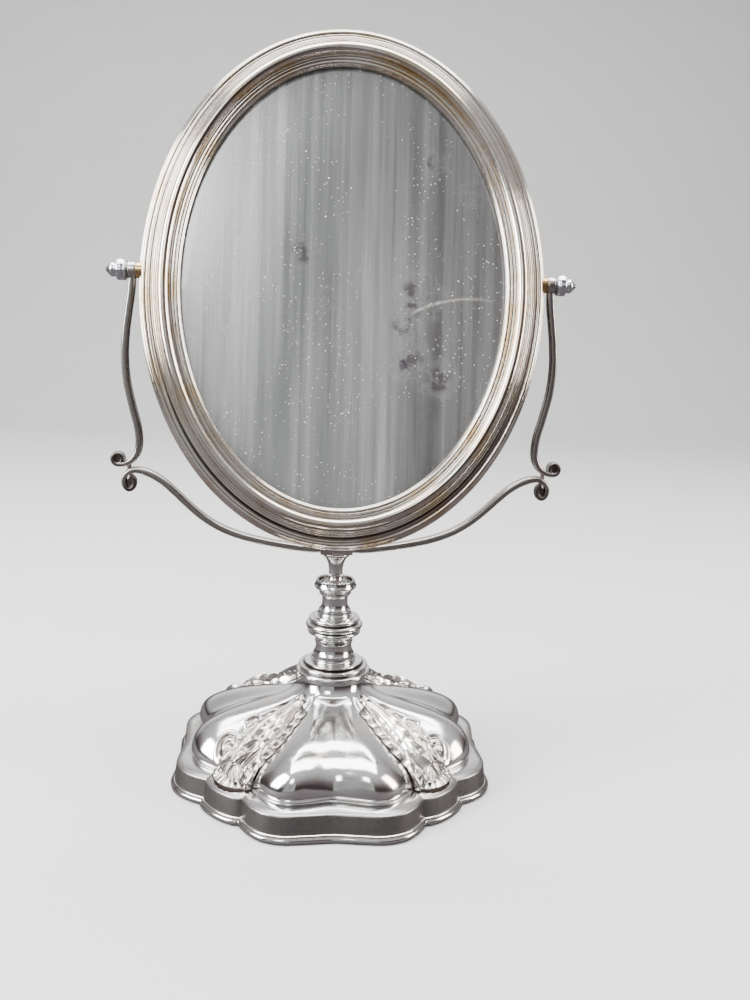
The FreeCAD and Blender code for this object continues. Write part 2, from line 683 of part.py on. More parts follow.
def mirror_head():
    """The oval frame in two rings, the glass, its packing, the wooden liner and the back."""
    front = size.lip_front
    rear = size.lip_back
    inner = size.liner_inner
    moulding = oval_ring("moulding", [
        (0, rear), (0, front), (3.4, front + 0.9, 1.0), (5.9, front + 2.6, -0.8),
        (12.0, front + 2.4, 2.4), (14.8, front - 0.4), (18.6, front - 4.2, -0.8), (18.6, front - 5.8),
        (14.4, front - 2.4), (11.4, front + 1.0), (8.9, front + 2.6), (6.6, front + 1.0),
        (inner, front - 1.4), (inner, rear)])
    lean(feature("front_moulding", moulding))
    width = size.rim_width
    rim = oval_ring("rim", [
        (18.6, front - 5.8), (18.6, front - 4.2), (width - 1.6, front - 6.6, 0.9),
        (width - 1.2, front - 7.2), (width, front - 9.4, 0.5), (width, front - 12.4),
        (width - 0.4, front - 12.8), (width - 0.4, size.rim_back), (width - 2.0, size.rim_back),
        (width - 2.0, front - 8.0)])
    boss_holes = pivot_holes(size.boss_radius, size.boss_step - 3.0 * OVERRUN, size.boss_face + OVERRUN)
    lean(feature("outer_rim", rim.cut(boss_holes)))
    liner = oval_ring("liner", [
        (inner, size.liner_back), (inner, size.liner_front), (size.liner_outer, size.liner_front),
        (size.liner_outer, size.liner_back)])
    shank_holes = pivot_holes(size.boss_shank_radius, size.boss_inner_end, size.boss_step)
    screws = panel_screws()
    doc.recompute()
    lean(feature("wood_liner", liner.cut(shank_holes + screws.Shape.Solids)))
    glass_back = size.glass_thickness - rear
    glass = oval_plate("mirror_glass", size.glass_margin, -rear, size.glass_thickness)
    subpart(lean(glass), "mirror_glass")
    packing = oval_plate("glass_packing", inner - 0.3, glass_back, -size.liner_back - glass_back)
    subpart(lean(packing), "glass_packing")
    panel = oval_plate("panel_blank", size.panel_outer, -size.liner_back, size.panel_thickness)
    subpart(lean(cut("back_panel", panel, screws)), "back_panel")
    screw_group = doc.addObject("Part::Compound", "panel_screws")
    screw_group.Links = screws.Links
    subpart(lean(screw_group), "panel_screws")


SCREW_ANGLES = (30.0, 90.0, 150.0, 210.0, 270.0, 330.0)


def panel_screws():
    """Round-headed screws that hold the back panel to the liner."""
    panel_back = size.panel_thickness - size.liner_back
    middle = (size.liner_inner.value + size.liner_outer.value) / 2.0
    screws = []
    for number, degrees in enumerate(SCREW_ANGLES, start=1):
        angle = math.radians(degrees)
        across = (size.lip_half_width.value + middle) * math.cos(angle)
        level = (size.lip_half_height.value + middle) * math.sin(angle) - size.oval_drop.value
        towards_front = FreeCAD.Rotation(FreeCAD.Vector(1, 0, 0), 90.0)
        head_top = panel_back + size.panel_screw_crown
        shank = cylinder("screw_shank_%d" % number, size.panel_screw_radius,
                         size.panel_screw_length + size.panel_screw_crown)
        shank.Placement = FreeCAD.Placement(FreeCAD.Vector(across, head_top.value, level), towards_front)
        bind(shank, "Placement.Base.y", head_top)
        head = doc.addObject("Part::Cone", "screw_head_%d" % number)
        bind(head, "Radius1", size.panel_screw_head * 0.55)
        bind(head, "Radius2", size.panel_screw_head)
        bind(head, "Height", size.panel_screw_crown)
        head.Placement = FreeCAD.Placement(FreeCAD.Vector(across, head_top.value, level), towards_front)
        bind(head, "Placement.Base.y", head_top)
        screws.append(fused("screw_%d" % number, [shank, head]))
    screw_set = doc.addObject("Part::Compound", "screw_set")
    screw_set.Links = screws
    return screw_set


def check_and_export():
    doc.recompute()
    for obj in doc.Objects:
        if "Invalid" in obj.State or "Error" in obj.State:
            raise RuntimeError("%s failed: %s" % (obj.Label, obj.State))
    os.makedirs("parts", exist_ok=True)
    for obj in SUBPARTS:
        if obj.Shape.isNull() or not obj.Shape.isValid() or not obj.Shape.Solids:
            raise RuntimeError("%s has no valid solid" % obj.Label)
        obj.Shape.exportStep(os.path.join("parts", obj.Label + ".step"))


base_shell()
foot_rim()
corner_mounts()
base_closing()
tie_rod()
stem()
yoke_arms()
yoke_hub()
pivots()
mirror_head()
check_and_export()
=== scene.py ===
import cmath
import math

import bmesh
import bpy
import numpy as np
from mathutils import Matrix, Vector


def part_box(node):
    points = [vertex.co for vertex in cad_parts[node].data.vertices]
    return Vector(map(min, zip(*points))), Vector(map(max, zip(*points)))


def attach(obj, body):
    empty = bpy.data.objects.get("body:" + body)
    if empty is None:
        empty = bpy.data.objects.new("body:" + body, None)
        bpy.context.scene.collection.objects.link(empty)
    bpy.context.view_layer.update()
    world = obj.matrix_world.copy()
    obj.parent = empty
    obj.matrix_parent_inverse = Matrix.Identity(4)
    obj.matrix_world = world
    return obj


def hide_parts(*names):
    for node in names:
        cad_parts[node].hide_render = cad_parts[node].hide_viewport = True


# Table mirror: an aged silver-plated oval mirror in a scrolled yoke, on a turned stem and a
# lobed base with cast acanthus mounts. The pieces are drawn in millimetres, the studio in metres.

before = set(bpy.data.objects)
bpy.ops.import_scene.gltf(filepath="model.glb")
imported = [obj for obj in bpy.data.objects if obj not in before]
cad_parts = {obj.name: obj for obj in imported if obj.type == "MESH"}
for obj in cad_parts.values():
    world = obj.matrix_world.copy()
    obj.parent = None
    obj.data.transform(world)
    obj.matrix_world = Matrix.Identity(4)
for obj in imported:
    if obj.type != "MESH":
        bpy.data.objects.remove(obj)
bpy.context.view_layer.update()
MM = 0.001
TO_BACK, UPRIGHT = np.array([0.0, 1.0, 0.0]), np.array([0.0, 0.0, 1.0])


def low(node):
    """Lowest corner of a CAD node at rest, in millimetres."""
    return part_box(node)[0] / MM


def high(node):
    """Highest corner of a CAD node at rest, in millimetres."""
    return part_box(node)[1] / MM


def placed(name, data):
    """A new object in the scene."""
    made = bpy.data.objects.new(name, data)
    bpy.context.scene.collection.objects.link(made)
    return made


def unit(values):
    """Values held between 0 and 1."""
    return np.clip(values, 0.0, 1.0)


def stations(values, count):
    """Values given at even stations, filled in to a count."""
    return np.interp(np.linspace(0.0, 1.0, count), np.linspace(0.0, 1.0, len(values)), values)


def full_turn(count):
    """Angles evenly spaced round a full turn, in radians."""
    return np.linspace(0.0, 2.0 * math.pi, count, endpoint=False)


# ---- outlines

def sampled(steps, spacing=0.35):
    """Points along an outline whose steps are (x, y) lines or (x, y, bulge) arcs.

    A bulge is the arc's height over its chord, positive to the left of the travel.
    """
    points = [complex(*steps[0][:2])]
    for step in steps[1:]:
        start, end = points[-1], complex(*step[:2])
        if len(step) == 2:
            points.append(end)
            continue
        length = abs(end - start)
        half_angle = 2.0 * math.atan(2.0 * step[2] / length)
        radius = length / (2.0 * math.sin(half_angle))
        centre = (start + end) / 2.0 - 1j * (end - start) / length * radius * math.cos(half_angle)
        count = max(3, int(abs(2.0 * half_angle * radius) / spacing))
        for share in np.linspace(0.0, 1.0, count + 1)[1:]:
            points.append(centre + (start - centre) * cmath.exp(-2j * half_angle * share))
    return np.array([(point.real, point.imag) for point in points])


def hollows(section, reach, depth):
    """How deep each point of a section lies below its neighbours, as tarnish from 0 to 1."""
    nearby = [section[np.abs(section[:, 0] - place) < reach, 1].mean() for place in section[:, 0]]
    return unit((nearby - section[:, 1]) / depth)


def shifted(steps, across, up):
    """The same outline steps moved across and up."""
    return [(across + step[0], up + step[1], *step[2:]) for step in steps]


def softened(points, reach, closed=True, sharp=0.35):
    """The outline with each corner that turns more than a sharp angle rounded over a short reach."""
    count = len(points)
    result = []
    for index in range(count):
        here = points[index]
        if not closed and index in (0, count - 1):
            result.append(here)
            continue
        before = points[index - 1] - here
        after = points[(index + 1) % count] - here
        length_before, length_after = np.hypot(*before), np.hypot(*after)
        if min(length_before, length_after) < 1e-6:
            continue
        cosine = float(before @ after) / (length_before * length_after)
        if math.pi - math.acos(max(-1.0, min(1.0, cosine))) < sharp:
            result.append(here)
            continue
        first = here + before * min(reach / length_before, 0.4)
        last = here + after * min(reach / length_after, 0.4)
        for share in (0.0, 0.33, 0.67, 1.0):
            result.append(first * (1 - share) ** 2 + here * 2 * share * (1 - share) + last * share ** 2)
    return np.array(result)


def scroll(centre, first, last, start, sweep, stretch=1.0, count=14, ease=1.0):
    """A spiral that rolls up from a first to a last radius, taller than wide by a stretch."""
    points = []
    for share in np.linspace(0.0, 1.0, count + 1):
        angle = math.radians(start + sweep * share)
        radius = last + (first - last) * (1.0 - share) ** ease
        points.append((centre[0] + radius * math.cos(angle),
                       centre[1] + radius * stretch * math.sin(angle)))
    return points


def flowing(points, count):
    """A smooth curve through points, sampled evenly along its length."""
    points = np.array(points, float)
    gaps = np.sqrt(np.linalg.norm(np.diff(points, axis=0), axis=1))
    knots = np.concatenate([[0.0], np.cumsum(gaps)])
    slopes = np.gradient(points, knots, axis=0)
    dense = []
    for index in range(len(points) - 1):
        width = knots[index + 1] - knots[index]
        for share in np.linspace(0.0, 1.0, 24, endpoint=False):
            square, cube = share ** 2, share ** 3
            dense.append((2 * cube - 3 * square + 1) * points[index]
                         + (cube - 2 * square + share) * width * slopes[index]
                         + (3 * square - 2 * cube) * points[index + 1]
                         + (cube - square) * width * slopes[index + 1])
    dense.append(points[-1])
    dense = np.array(dense)
    along = np.concatenate([[0.0], np.cumsum(np.linalg.norm(np.diff(dense, axis=0), axis=1))])
    places = np.linspace(0.0, along[-1], count)
    return np.stack([np.interp(places, along, dense[:, axis]) for axis in range(dense.shape[1])], 1)


# ---- meshes

class Piece:
    """A mesh put together from closed patches of quads, with a darkening value at each point: tarnish in
    hollows, and on the base's wall a painted dark reflection.
    """

    def __init__(self, name):
        self.name, self.count = name, 0
        self.points, self.faces, self.patina_and_painted_reflection = [], [], []

    def add(self, grid, patina_and_painted_reflection=0.0, capped=False):
        """Add a patch whose rows are rings: the ends are capped, or else the last row meets the first."""
        rows, columns = grid.shape[:2]
        at_row, at_column = np.meshgrid(np.arange(rows - 1 if capped else rows), np.arange(columns),
                                        indexing="ij")
        next_row, next_column = (at_row + 1) % rows, (at_column + 1) % columns
        quads = np.stack([at_row * columns + at_column, at_row * columns + next_column,
                          next_row * columns + next_column, next_row * columns + at_column], -1)
        self.faces += (quads.reshape(-1, 4) + self.count).tolist()
        if capped:
            ends = (range(columns), range((rows - 1) * columns, rows * columns))
            self.faces += [[index + self.count for index in ring] for ring in ends]
        self.points.append(grid.reshape(-1, 3))
        self.patina_and_painted_reflection.append(np.broadcast_to(patina_and_painted_reflection, (rows, columns)).reshape(-1))
        self.count += rows * columns
        return self

    def build(self, material, body, replaced, slot="silver_plate", crease=40.0):
        """Make the mesh, which rides on a body and stands in for the CAD node it replaces."""
        mesh = bpy.data.meshes.new(self.name)
        mesh.from_pydata((np.concatenate(self.points) * MM).tolist(), [], self.faces)
        # The darkening values are tarnish, and on the base's wall a painted dark reflection.
        patina_and_painted_reflection = mesh.attributes.new("patina_and_painted_reflection", "FLOAT", "POINT")
        patina_and_painted_reflection.data.foreach_set("value", np.concatenate(self.patina_and_painted_reflection).astype(np.float32))
        work = bmesh.new()
        work.from_mesh(mesh)
        bmesh.ops.remove_doubles(work, verts=work.verts, dist=1e-7)
        bmesh.ops.recalc_face_normals(work, faces=work.faces)
        work.to_mesh(mesh)
        work.free()
        mesh.polygons.foreach_set("use_smooth", [True] * len(mesh.polygons))
        mesh.set_sharp_from_angle(angle=math.radians(crease))
        mesh.materials.append(material)
        piece = placed(self.name, mesh)
        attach(piece, body)
        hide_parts(replaced)


def ring_of(outline, count, wobble=None):
    """A closed outline of (radius, level) turned about Z, as a grid of rings."""
    angles = full_turn(count)
    radius = outline[:, 0][:, None] * np.ones(count)
    if wobble is not None:
        radius = radius * (1.0 + wobble(outline, angles))
    level = outline[:, 1][:, None] * np.ones(count)
    return np.stack([radius * np.cos(angles), radius * np.sin(angles), level], -1)


def tube(path, widths, depth_side, sides, deep, power=2.0):
    """A tube along a path: half widths, and a superellipse section deeper by a factor on one side."""
    tangents = np.gradient(path, axis=0)
    tangents /= np.linalg.norm(tangents, axis=1)[:, None]
    side = depth_side - tangents * (tangents @ depth_side)[:, None]
    side /= np.linalg.norm(side, axis=1)[:, None]
    across = np.cross(tangents, side)
    angles = full_turn(sides)
    round_x, round_y = [(np.sign(wave) * np.abs(wave) ** (2.0 / power))[:, None]
                        for wave in (np.cos(angles), np.sin(angles))]
    half = widths[:, None, None]
    depth = (deep * np.ones(len(path)))[:, None, None]
    return path[:, None] + across[:, None] * round_x * half + side[:, None] * round_y * half * depth


# ---- materials

class Finish:
    """A procedural material built from nodes around one Principled shader."""

    def __init__(self, name):
        self.material = bpy.data.materials.new(name)
        self.material.use_nodes = True
        self.tree = self.material.node_tree
        self.shader = self.tree.nodes["Principled BSDF"]
        self.place = self.tree.nodes.new("ShaderNodeTexCoord").outputs["Object"]

    def put(self, socket, value):
        if isinstance(value, bpy.types.NodeSocket):
            self.tree.links.new(value, socket)
        else:
            socket.default_value = value

    def node(self, kind, inputs, output=0, **settings):
        made = self.tree.nodes.new(kind)
        for name, value in settings.items():
            setattr(made, name, value)
        for name, value in inputs.items():
            self.put(made.inputs[name], value)
        return made.outputs[output]

    def stretched(self, scale, shift=(0.0, 0.0, 0.0)):
        return self.node("ShaderNodeMapping", {"Vector": self.place, "Scale": scale, "Location": shift})

    def noise(self, scale, detail=3.0, roughness=0.55, vector=None):
        return self.node("ShaderNodeTexNoise", {"Vector": vector or self.place, "Scale": scale,
                                                "Detail": detail, "Roughness": roughness})

    def maths(self, kind, first, second=0.0, clamp=False):
        made = self.tree.nodes.new("ShaderNodeMath")
        made.operation = kind
        made.use_clamp = clamp
        self.put(made.inputs[0], first)
        self.put(made.inputs[1], second)
        return made.outputs[0]

    def span(self, value, start, end, to_start=0.0, to_end=1.0):
        return self.node("ShaderNodeMapRange", {"Value": value, "From Min": start, "From Max": end,
                                                "To Min": to_start, "To Max": to_end})

    def blend(self, share, first, second):
        made = self.tree.nodes.new("ShaderNodeMix")
        made.data_type = "RGBA"
        self.put(made.inputs["Factor"], share)
        self.put(made.inputs[6], first)
        self.put(made.inputs[7], second)
        return made.outputs[2]

    def bump(self, height, strength, distance):
        normal = self.node("ShaderNodeBump", {"Height": height, "Strength": strength, "Distance": distance})
        self.put(self.shader.inputs["Normal"], normal)

    def surface(self, **values):
        for name, value in values.items():
            self.put(self.shader.inputs[name.replace("_", " ")], value)
        return self.material


def rgb(red, green, blue):
    return (red, green, blue, 1.0)


def plated(name, clean, warm, warm_share, gloss=0.09, cloud=26.0):
    """Old silver plate: polished highs, brassy wear in patches, dark tarnish in the hollows, and on the
    base's wall a painted dark reflection.
    """
    finish = Finish(name)
    sulphide_and_painted_reflection = rgb(0.055, 0.042, 0.036)
    patina_and_painted_reflection = finish.node("ShaderNodeAttribute", {}, output="Fac", attribute_name="patina_and_painted_reflection")
    clouds = finish.noise(cloud, 5.0, 0.6)
    grain = finish.noise(420.0, 4.0, 0.65)
    worn = finish.span(clouds, 0.62 - 0.22 * warm_share, 0.78 - 0.12 * warm_share)
    colour = finish.blend(finish.maths("MULTIPLY", worn, warm_share), clean, warm)
    # Darkening towards the dark colour: tarnish in hollows and grime specks, and on the base's wall a
    # painted dark reflection.
    grime_and_painted_reflection = finish.maths("ADD", finish.maths("MULTIPLY", patina_and_painted_reflection, 1.15),
                         finish.span(grain, 0.55, 0.8, 0.0, 0.22), clamp=True)
    colour = finish.blend(grime_and_painted_reflection, colour, sulphide_and_painted_reflection)
    scratches = finish.noise(900.0, 2.0, 0.5, finish.stretched((1.0, 1.0, 0.12)))
    rough = finish.maths("ADD", finish.span(clouds, 0.3, 0.8, gloss, gloss + 0.10),
                         finish.maths("MULTIPLY", grime_and_painted_reflection, 0.28))
    finish.bump(finish.maths("ADD", finish.maths("MULTIPLY", scratches, 0.25), grain), 0.05, 0.0004)
    return finish.surface(Base_Color=colour, Metallic=1.0, Roughness=rough)


def turned_metal(name, colour, shade, rough):
    """Plain turned metal with fine tool marks and a little staining."""
    finish = Finish(name)
    stain = finish.span(finish.noise(60.0, 4.0), 0.4, 0.75)
    marks = finish.noise(1500.0, 2.0, 0.5, finish.stretched((1.0, 1.0, 0.05)))
    finish.bump(marks, 0.08, 0.0003)
    return finish.surface(Base_Color=finish.blend(stain, colour, shade), Metallic=1.0,
                          Roughness=finish.span(stain, 0.0, 1.0, rough, rough + 0.15))


def dust(finish, scale, size):
    """Round specks scattered at a scale."""
    cells = finish.node("ShaderNodeTexVoronoi", {"Vector": finish.place, "Scale": scale})
    return finish.span(cells, size, size * 0.6)


def away_from(finish, centre):
    """Distance in metres from a point on the front of the glass, given as (across, above)."""
    point = Vector(on_head(np.array([centre[0], GLASS_FRONT, centre[1]]))) * MM
    return finish.node("ShaderNodeVectorMath", {0: finish.place, 1: point}, output="Value",
                       operation="DISTANCE")


def ring_mark(finish, centre, radius, middle, reach, half_width):
    """A piece of a ring-shaped mark on the glass, fading out round its middle."""
    off = finish.maths("ABSOLUTE", finish.maths("SUBTRACT", away_from(finish, centre), radius * MM))
    line = finish.span(off, half_width * MM, 0.3 * half_width * MM)
    nearby = finish.span(away_from(finish, middle), reach * MM, 0.5 * reach * MM)
    return finish.maths("MULTIPLY", line, nearby)


def aged_glass():
    """Silvered glass gone grey: a hazy coat in upright streaks, dust specks, foxing, and a painted pale
    reflection arc.
    """
    finish = Finish("aged_mirror_glass")
    streaks = finish.noise(1.0, 5.0, 0.7, finish.stretched((150.0, 3.0, 3.0)))
    broad = finish.noise(1.0, 3.0, 0.5, finish.stretched((24.0, 8.0, 4.0), (0.3, 0.0, 0.2)))
    haze = finish.maths("ADD", finish.span(streaks, 0.3, 0.75, 0.0, 0.5),
                        finish.span(broad, 0.3, 0.7, 0.0, 0.5))
    thinned = finish.span(finish.noise(21.0, 2.0), 0.45, 0.55)
    specks = finish.maths("MAXIMUM", dust(finish, 150.0, 0.075), dust(finish, 420.0, 0.13))
    specks = finish.maths("MULTIPLY", specks, thinned, clamp=True)
    blots = None
    for centre, size in FOXING:
        blot = finish.span(away_from(finish, centre), 1.2 * size * MM, 0.5 * size * MM)
        blots = blot if blots is None else finish.maths("MAXIMUM", blots, blot)
    patches = finish.span(finish.noise(95.0, 6.0, 0.72), 0.43, 0.57)
    foxing = finish.maths("MULTIPLY", finish.maths("MULTIPLY", blots, patches), 0.9, clamp=True)
    dark_ring = ring_mark(finish, (75.0, -18.0), 50.0, (34.0, -47.0), 27.0, 2.6)
    foxing = finish.maths("MAXIMUM", foxing, finish.maths("MULTIPLY", dark_ring, patches), clamp=True)
    silver = finish.blend(haze, rgb(0.25, 0.25, 0.255), rgb(0.52, 0.53, 0.53))
    colour = finish.blend(foxing, silver, rgb(0.035, 0.028, 0.034))
    # Painted reflection: a pale warm arc right of the middle, painted into the glass colour.
    painted_reflection_arc = ring_mark(finish, (70.0, -77.0), 67.0, (58.0, -13.0), 24.0, 1.1)
    colour = finish.blend(finish.maths("MULTIPLY", painted_reflection_arc, 0.7), colour, rgb(0.85, 0.82, 0.74))
    colour = finish.blend(specks, colour, rgb(0.85, 0.85, 0.85))
    clouded = finish.maths("MAXIMUM", specks, finish.maths("MULTIPLY", foxing, 0.7))
    mirror = finish.maths("SUBTRACT", finish.span(haze, 0.0, 1.0, 0.93, 0.55), clouded, clamp=True)
    return finish.surface(Base_Color=colour, Metallic=mirror, Coat_Weight=0.6, Coat_Roughness=0.03,
                          Roughness=finish.span(haze, 0.0, 1.0, 0.10, 0.34))


def stained_board():
    """Dark stained wood with upright grain."""
    finish = Finish("stained_board")
    grain = finish.noise(1.0, 6.0, 0.65, finish.stretched((260.0, 60.0, 9.0)))
    bands = finish.noise(1.0, 3.0, 0.5, finish.stretched((38.0, 20.0, 2.5)))
    colour = finish.blend(finish.span(bands, 0.35, 0.7), rgb(0.07, 0.028, 0.014), rgb(0.16, 0.07, 0.032))
    colour = finish.blend(finish.span(grain, 0.55, 0.72), colour, rgb(0.03, 0.013, 0.008))
    finish.bump(grain, 0.25, 0.0004)
    return finish.surface(Base_Color=colour, Roughness=finish.span(grain, 0.3, 0.7, 0.34, 0.55))


def plain_wood():
    finish = Finish("liner_wood")
    grain = finish.noise(1.0, 5.0, 0.6, finish.stretched((180.0, 40.0, 12.0)))
    colour = finish.blend(finish.span(grain, 0.35, 0.7), rgb(0.42, 0.27, 0.14), rgb(0.23, 0.13, 0.06))
    finish.bump(grain, 0.2, 0.0004)
    return finish.surface(Base_Color=colour, Roughness=0.7)


def baize():
    finish = Finish("green_baize")
    fuzz = finish.noise(2600.0, 3.0, 0.7)
    worn = finish.noise(45.0, 3.0)
    colour = finish.blend(fuzz, rgb(0.012, 0.06, 0.03), rgb(0.05, 0.15, 0.08))
    colour = finish.blend(finish.span(worn, 0.55, 0.8, 0.0, 0.4), colour, rgb(0.12, 0.14, 0.08))
    finish.bump(fuzz, 0.6, 0.0006)
    return finish.surface(Base_Color=colour, Roughness=0.95, Sheen_Weight=0.4)


def pasteboard():
    finish = Finish("pasteboard")
    fibre = finish.noise(700.0, 4.0, 0.7)
    finish.bump(fibre, 0.2, 0.0003)
    return finish.surface(Base_Color=finish.blend(fibre, rgb(0.36, 0.3, 0.2), rgb(0.52, 0.45, 0.33)),
                          Roughness=0.9)


def cast_iron():
    finish = Finish("cast_iron")
    sand = finish.noise(520.0, 4.0, 0.7)
    finish.bump(sand, 0.5, 0.0008)
    return finish.surface(Base_Color=finish.blend(sand, rgb(0.03, 0.03, 0.032), rgb(0.09, 0.085, 0.08)),
                          Metallic=0.6, Roughness=0.7)


# ---- head frame

PIVOT = (low("pivot_stud_right")[2] + high("pivot_stud_right")[2]) / 2.0
LEAN = math.radians(12.0)
LIP_HALF_WIDTH = 87.0
LIP_HALF_HEIGHT = 118.0
OVAL_DROP = 7.0


def on_head(points):
    """Head coordinates (across, forward of the pivot axis, above it) in the row frame."""
    across, back, above = points[..., 0], -points[..., 1], points[..., 2]
    return np.stack([across, back * math.cos(LEAN) + above * math.sin(LEAN),
                     PIVOT + above * math.cos(LEAN) - back * math.sin(LEAN)], -1)


def oval_sweep(section, count=320):
    """A section of (outward, forward) points swept round the oval lip."""
    angles = full_turn(count)
    across, above = LIP_HALF_WIDTH * np.cos(angles), LIP_HALF_HEIGHT * np.sin(angles)
    normal = np.stack([LIP_HALF_HEIGHT * np.cos(angles), LIP_HALF_WIDTH * np.sin(angles)], -1)
    normal /= np.linalg.norm(normal, axis=1)[:, None]
    outward, forward = section[:, 0][:, None], section[:, 1][:, None]
    return on_head(np.stack([across + outward * normal[:, 0],
                             forward + np.zeros(count),
                             above - OVAL_DROP + outward * normal[:, 1]], -1))


GLASS_FRONT = 5.0

# Foxing on the glass: (across, above) and radius
FOXING = [((40.0, -10.0), 15.0), ((33.0, -24.0), 11.0), ((69.0, 47.0), 9.0), ((36.0, -44.0), 12.0),
          ((52.0, -54.0), 11.0), ((47.0, 62.0), 7.0), ((-22.0, 12.0), 9.0), ((-8.0, -12.0), 7.0)]

# ---- finishes in use

bright_silver = plated("bright_silver", rgb(0.88, 0.87, 0.86), rgb(0.74, 0.60, 0.42), 0.35)
frame_silver = plated("frame_silver", rgb(0.84, 0.79, 0.74), rgb(0.60, 0.45, 0.25), 0.85, 0.10, 38.0)
yoke_silver = plated("yoke_silver", rgb(0.66, 0.62, 0.60), rgb(0.45, 0.36, 0.30), 0.6, 0.16, 60.0)
cast_silver = plated("cast_silver", rgb(0.86, 0.83, 0.80), rgb(0.66, 0.50, 0.34), 0.5, 0.16, 70.0)
nut_plate = plated("nut_plate", rgb(0.86, 0.89, 0.95), rgb(0.78, 0.80, 0.84), 0.3, 0.12, 90.0)
brass = turned_metal("worn_brass", rgb(0.70, 0.50, 0.24), rgb(0.36, 0.20, 0.09), 0.22)
steel = turned_metal("turned_steel", rgb(0.52, 0.52, 0.53), rgb(0.25, 0.23, 0.21), 0.28)


# ---- base

OUTLINE = [(0.0, 86.0), (9.0, 88.4), (17.0, 91.9), (23.0, 92.2), (29.0, 89.3), (35.0, 84.6)]
CORNER_RADIUS = 87.4
BELL_FOOT = 17.0
LEDGE = 16.6
NECK_TOP = high("base_shell")[2]
SHEET = 1.3
AROUND = np.linspace(0.0, 360.0, 720, endpoint=False)

# Level and radius of the bell along a wide lobe's shoulders, in the crease beside it and along a
# corner lobe
RIDGE = [(17.0, 77.0), (20.0, 78.8), (24.0, 79.8), (28.0, 79.9), (31.5, 78.8), (34.5, 76.2), (37.0, 72.4),
         (39.2, 67.2), (41.0, 61.2), (42.4, 55.2), (43.6, 49.0), (44.8, 42.0), (46.0, 35.0), (47.6, 28.4),
         (49.6, 23.4), (52.2, 20.0), (56.0, 18.0), (59.5, 17.6)]
CREASE = [(17.0, 77.0), (20.0, 75.5), (23.0, 72.8), (26.0, 68.8), (29.0, 63.5), (31.5, 58.0), (34.0, 51.5),
          (37.0, 44.0), (40.0, 37.5), (43.0, 32.0), (46.0, 27.4), (49.0, 23.2), (52.0, 20.2), (56.0, 18.0),
          (59.5, 17.6)]
CORNER = [(17.0, 79.0), (20.0, 77.6), (24.0, 75.0), (28.0, 70.4), (31.0, 65.4), (33.5, 59.8), (36.0, 53.5),
          (39.0, 46.0), (42.0, 38.8), (45.0, 32.0), (48.0, 26.2), (51.0, 21.8), (54.0, 19.0), (57.0, 17.9),
          (59.5, 17.6)]
# Level, and how far the valley in the middle of a wide lobe falls short of the lobe's shoulders
VALLEY = [(17.0, 2.0), (20.0, 3.2), (24.0, 5.0), (28.0, 7.0), (31.5, 8.8), (34.5, 10.4), (37.0, 11.8),
          (39.2, 12.2), (41.0, 11.6), (42.4, 10.4), (43.6, 8.6), (44.8, 6.0), (46.0, 3.4), (47.6, 1.4),
          (49.6, 0.0)]
VALLEY_HALF_ANGLE = 18.0
# Level, and the crease's angle away from the middle of the wide lobe
CREASE_ANGLES = [(17.0, 37.5), (26.0, 35.5), (36.0, 32.5), (46.0, 30.0)]
# Below the bracket's top the lobes swell towards the outline of the foot
BRACKET_TOP, BRACKET_HEIGHT = 38.0, 20.0


def off_lobe(degrees):
    """Angle away from the middle of the nearest wide lobe, 0 to 45 degrees."""
    return np.abs((np.asarray(degrees) + 45.0) % 90.0 - 45.0)


LOBE_CURVE = flowing([(-angle, radius) for angle, radius in OUTLINE[:0:-1]] + OUTLINE, 400)


def outline_radius(degrees):
    """The base's plan outline at an angle from the front."""
    side = off_lobe(degrees)
    wide = np.interp(side, LOBE_CURVE[:, 0], LOBE_CURVE[:, 1])
    notch = OUTLINE[-1]
    from_corner = np.clip((45.0 - side) / (45.0 - notch[0]), -1.0, 1.0)
    corner = notch[1] + (CORNER_RADIUS - notch[1]) * np.sqrt(unit(1.0 - from_corner ** 2))
    return np.where(side <= notch[0], wide, corner)


def radius_of(grid):
    return np.hypot(grid[..., 0], grid[..., 1])


def plan(degrees, radius, level):
    """Points at an angle from the front, a radius and a level."""
    angle = np.radians(degrees)
    return np.stack([radius * np.sin(angle), -radius * np.cos(angle), level + 0.0 * angle], -1)


BELL_CURVES = [flowing(line, 300) for line in (RIDGE, CREASE, CORNER)]


def crease_at(level):
    """Angle of the crease beside a wide lobe."""
    return np.interp(level, *np.array(CREASE_ANGLES).T)


def bell_radius(degrees, level):
    """Radius of the lobed bell at an angle and a level."""
    ridge, crease, corner = [np.interp(level, curve[:, 0], curve[:, 1]) for curve in BELL_CURVES]
    within = off_lobe(degrees)
    crease_angle = crease_at(level)
    share = unit(within / crease_angle)
    pillow = unit(1.0 - share ** 2.8) ** 0.6
    corner_share = np.clip((45.0 - within) / (45.0 - crease_angle), -1.0, 1.0)
    lobe = np.sqrt(unit(1.0 - corner_share ** 2))
    lobe = np.where(within > crease_angle, lobe, 0.0)
    swell = unit((BRACKET_TOP - level) / BRACKET_HEIGHT) ** 0.9
    bracket = (outline_radius(degrees) - OUTLINE[0][1]) * swell
    fall = np.cos(np.minimum(within / VALLEY_HALF_ANGLE, 1.0) * math.pi / 2.0) ** 2
    valley = np.interp(level, *np.array(VALLEY).T) * fall
    return crease + (ridge - crease) * pillow + (corner - crease) * lobe + bracket * pillow - valley


SKIN_ANGLES = np.linspace(0.0, 45.0, 91)
SKIN_RADII = np.linspace(16.0, 94.0, 313)


def skin_table():
    """Level of the bell's skin by angle off a lobe and radius, falling all the way outwards."""
    levels = np.linspace(BELL_FOOT, NECK_TOP, 90)
    radii = np.stack([bell_radius(SKIN_ANGLES, level) for level in levels], -1)
    radii = np.maximum.accumulate(radii[:, ::-1], axis=1)[:, ::-1] - 0.001 * levels
    return np.array([np.interp(-SKIN_RADII, -row, levels) for row in radii])


SKIN = skin_table()


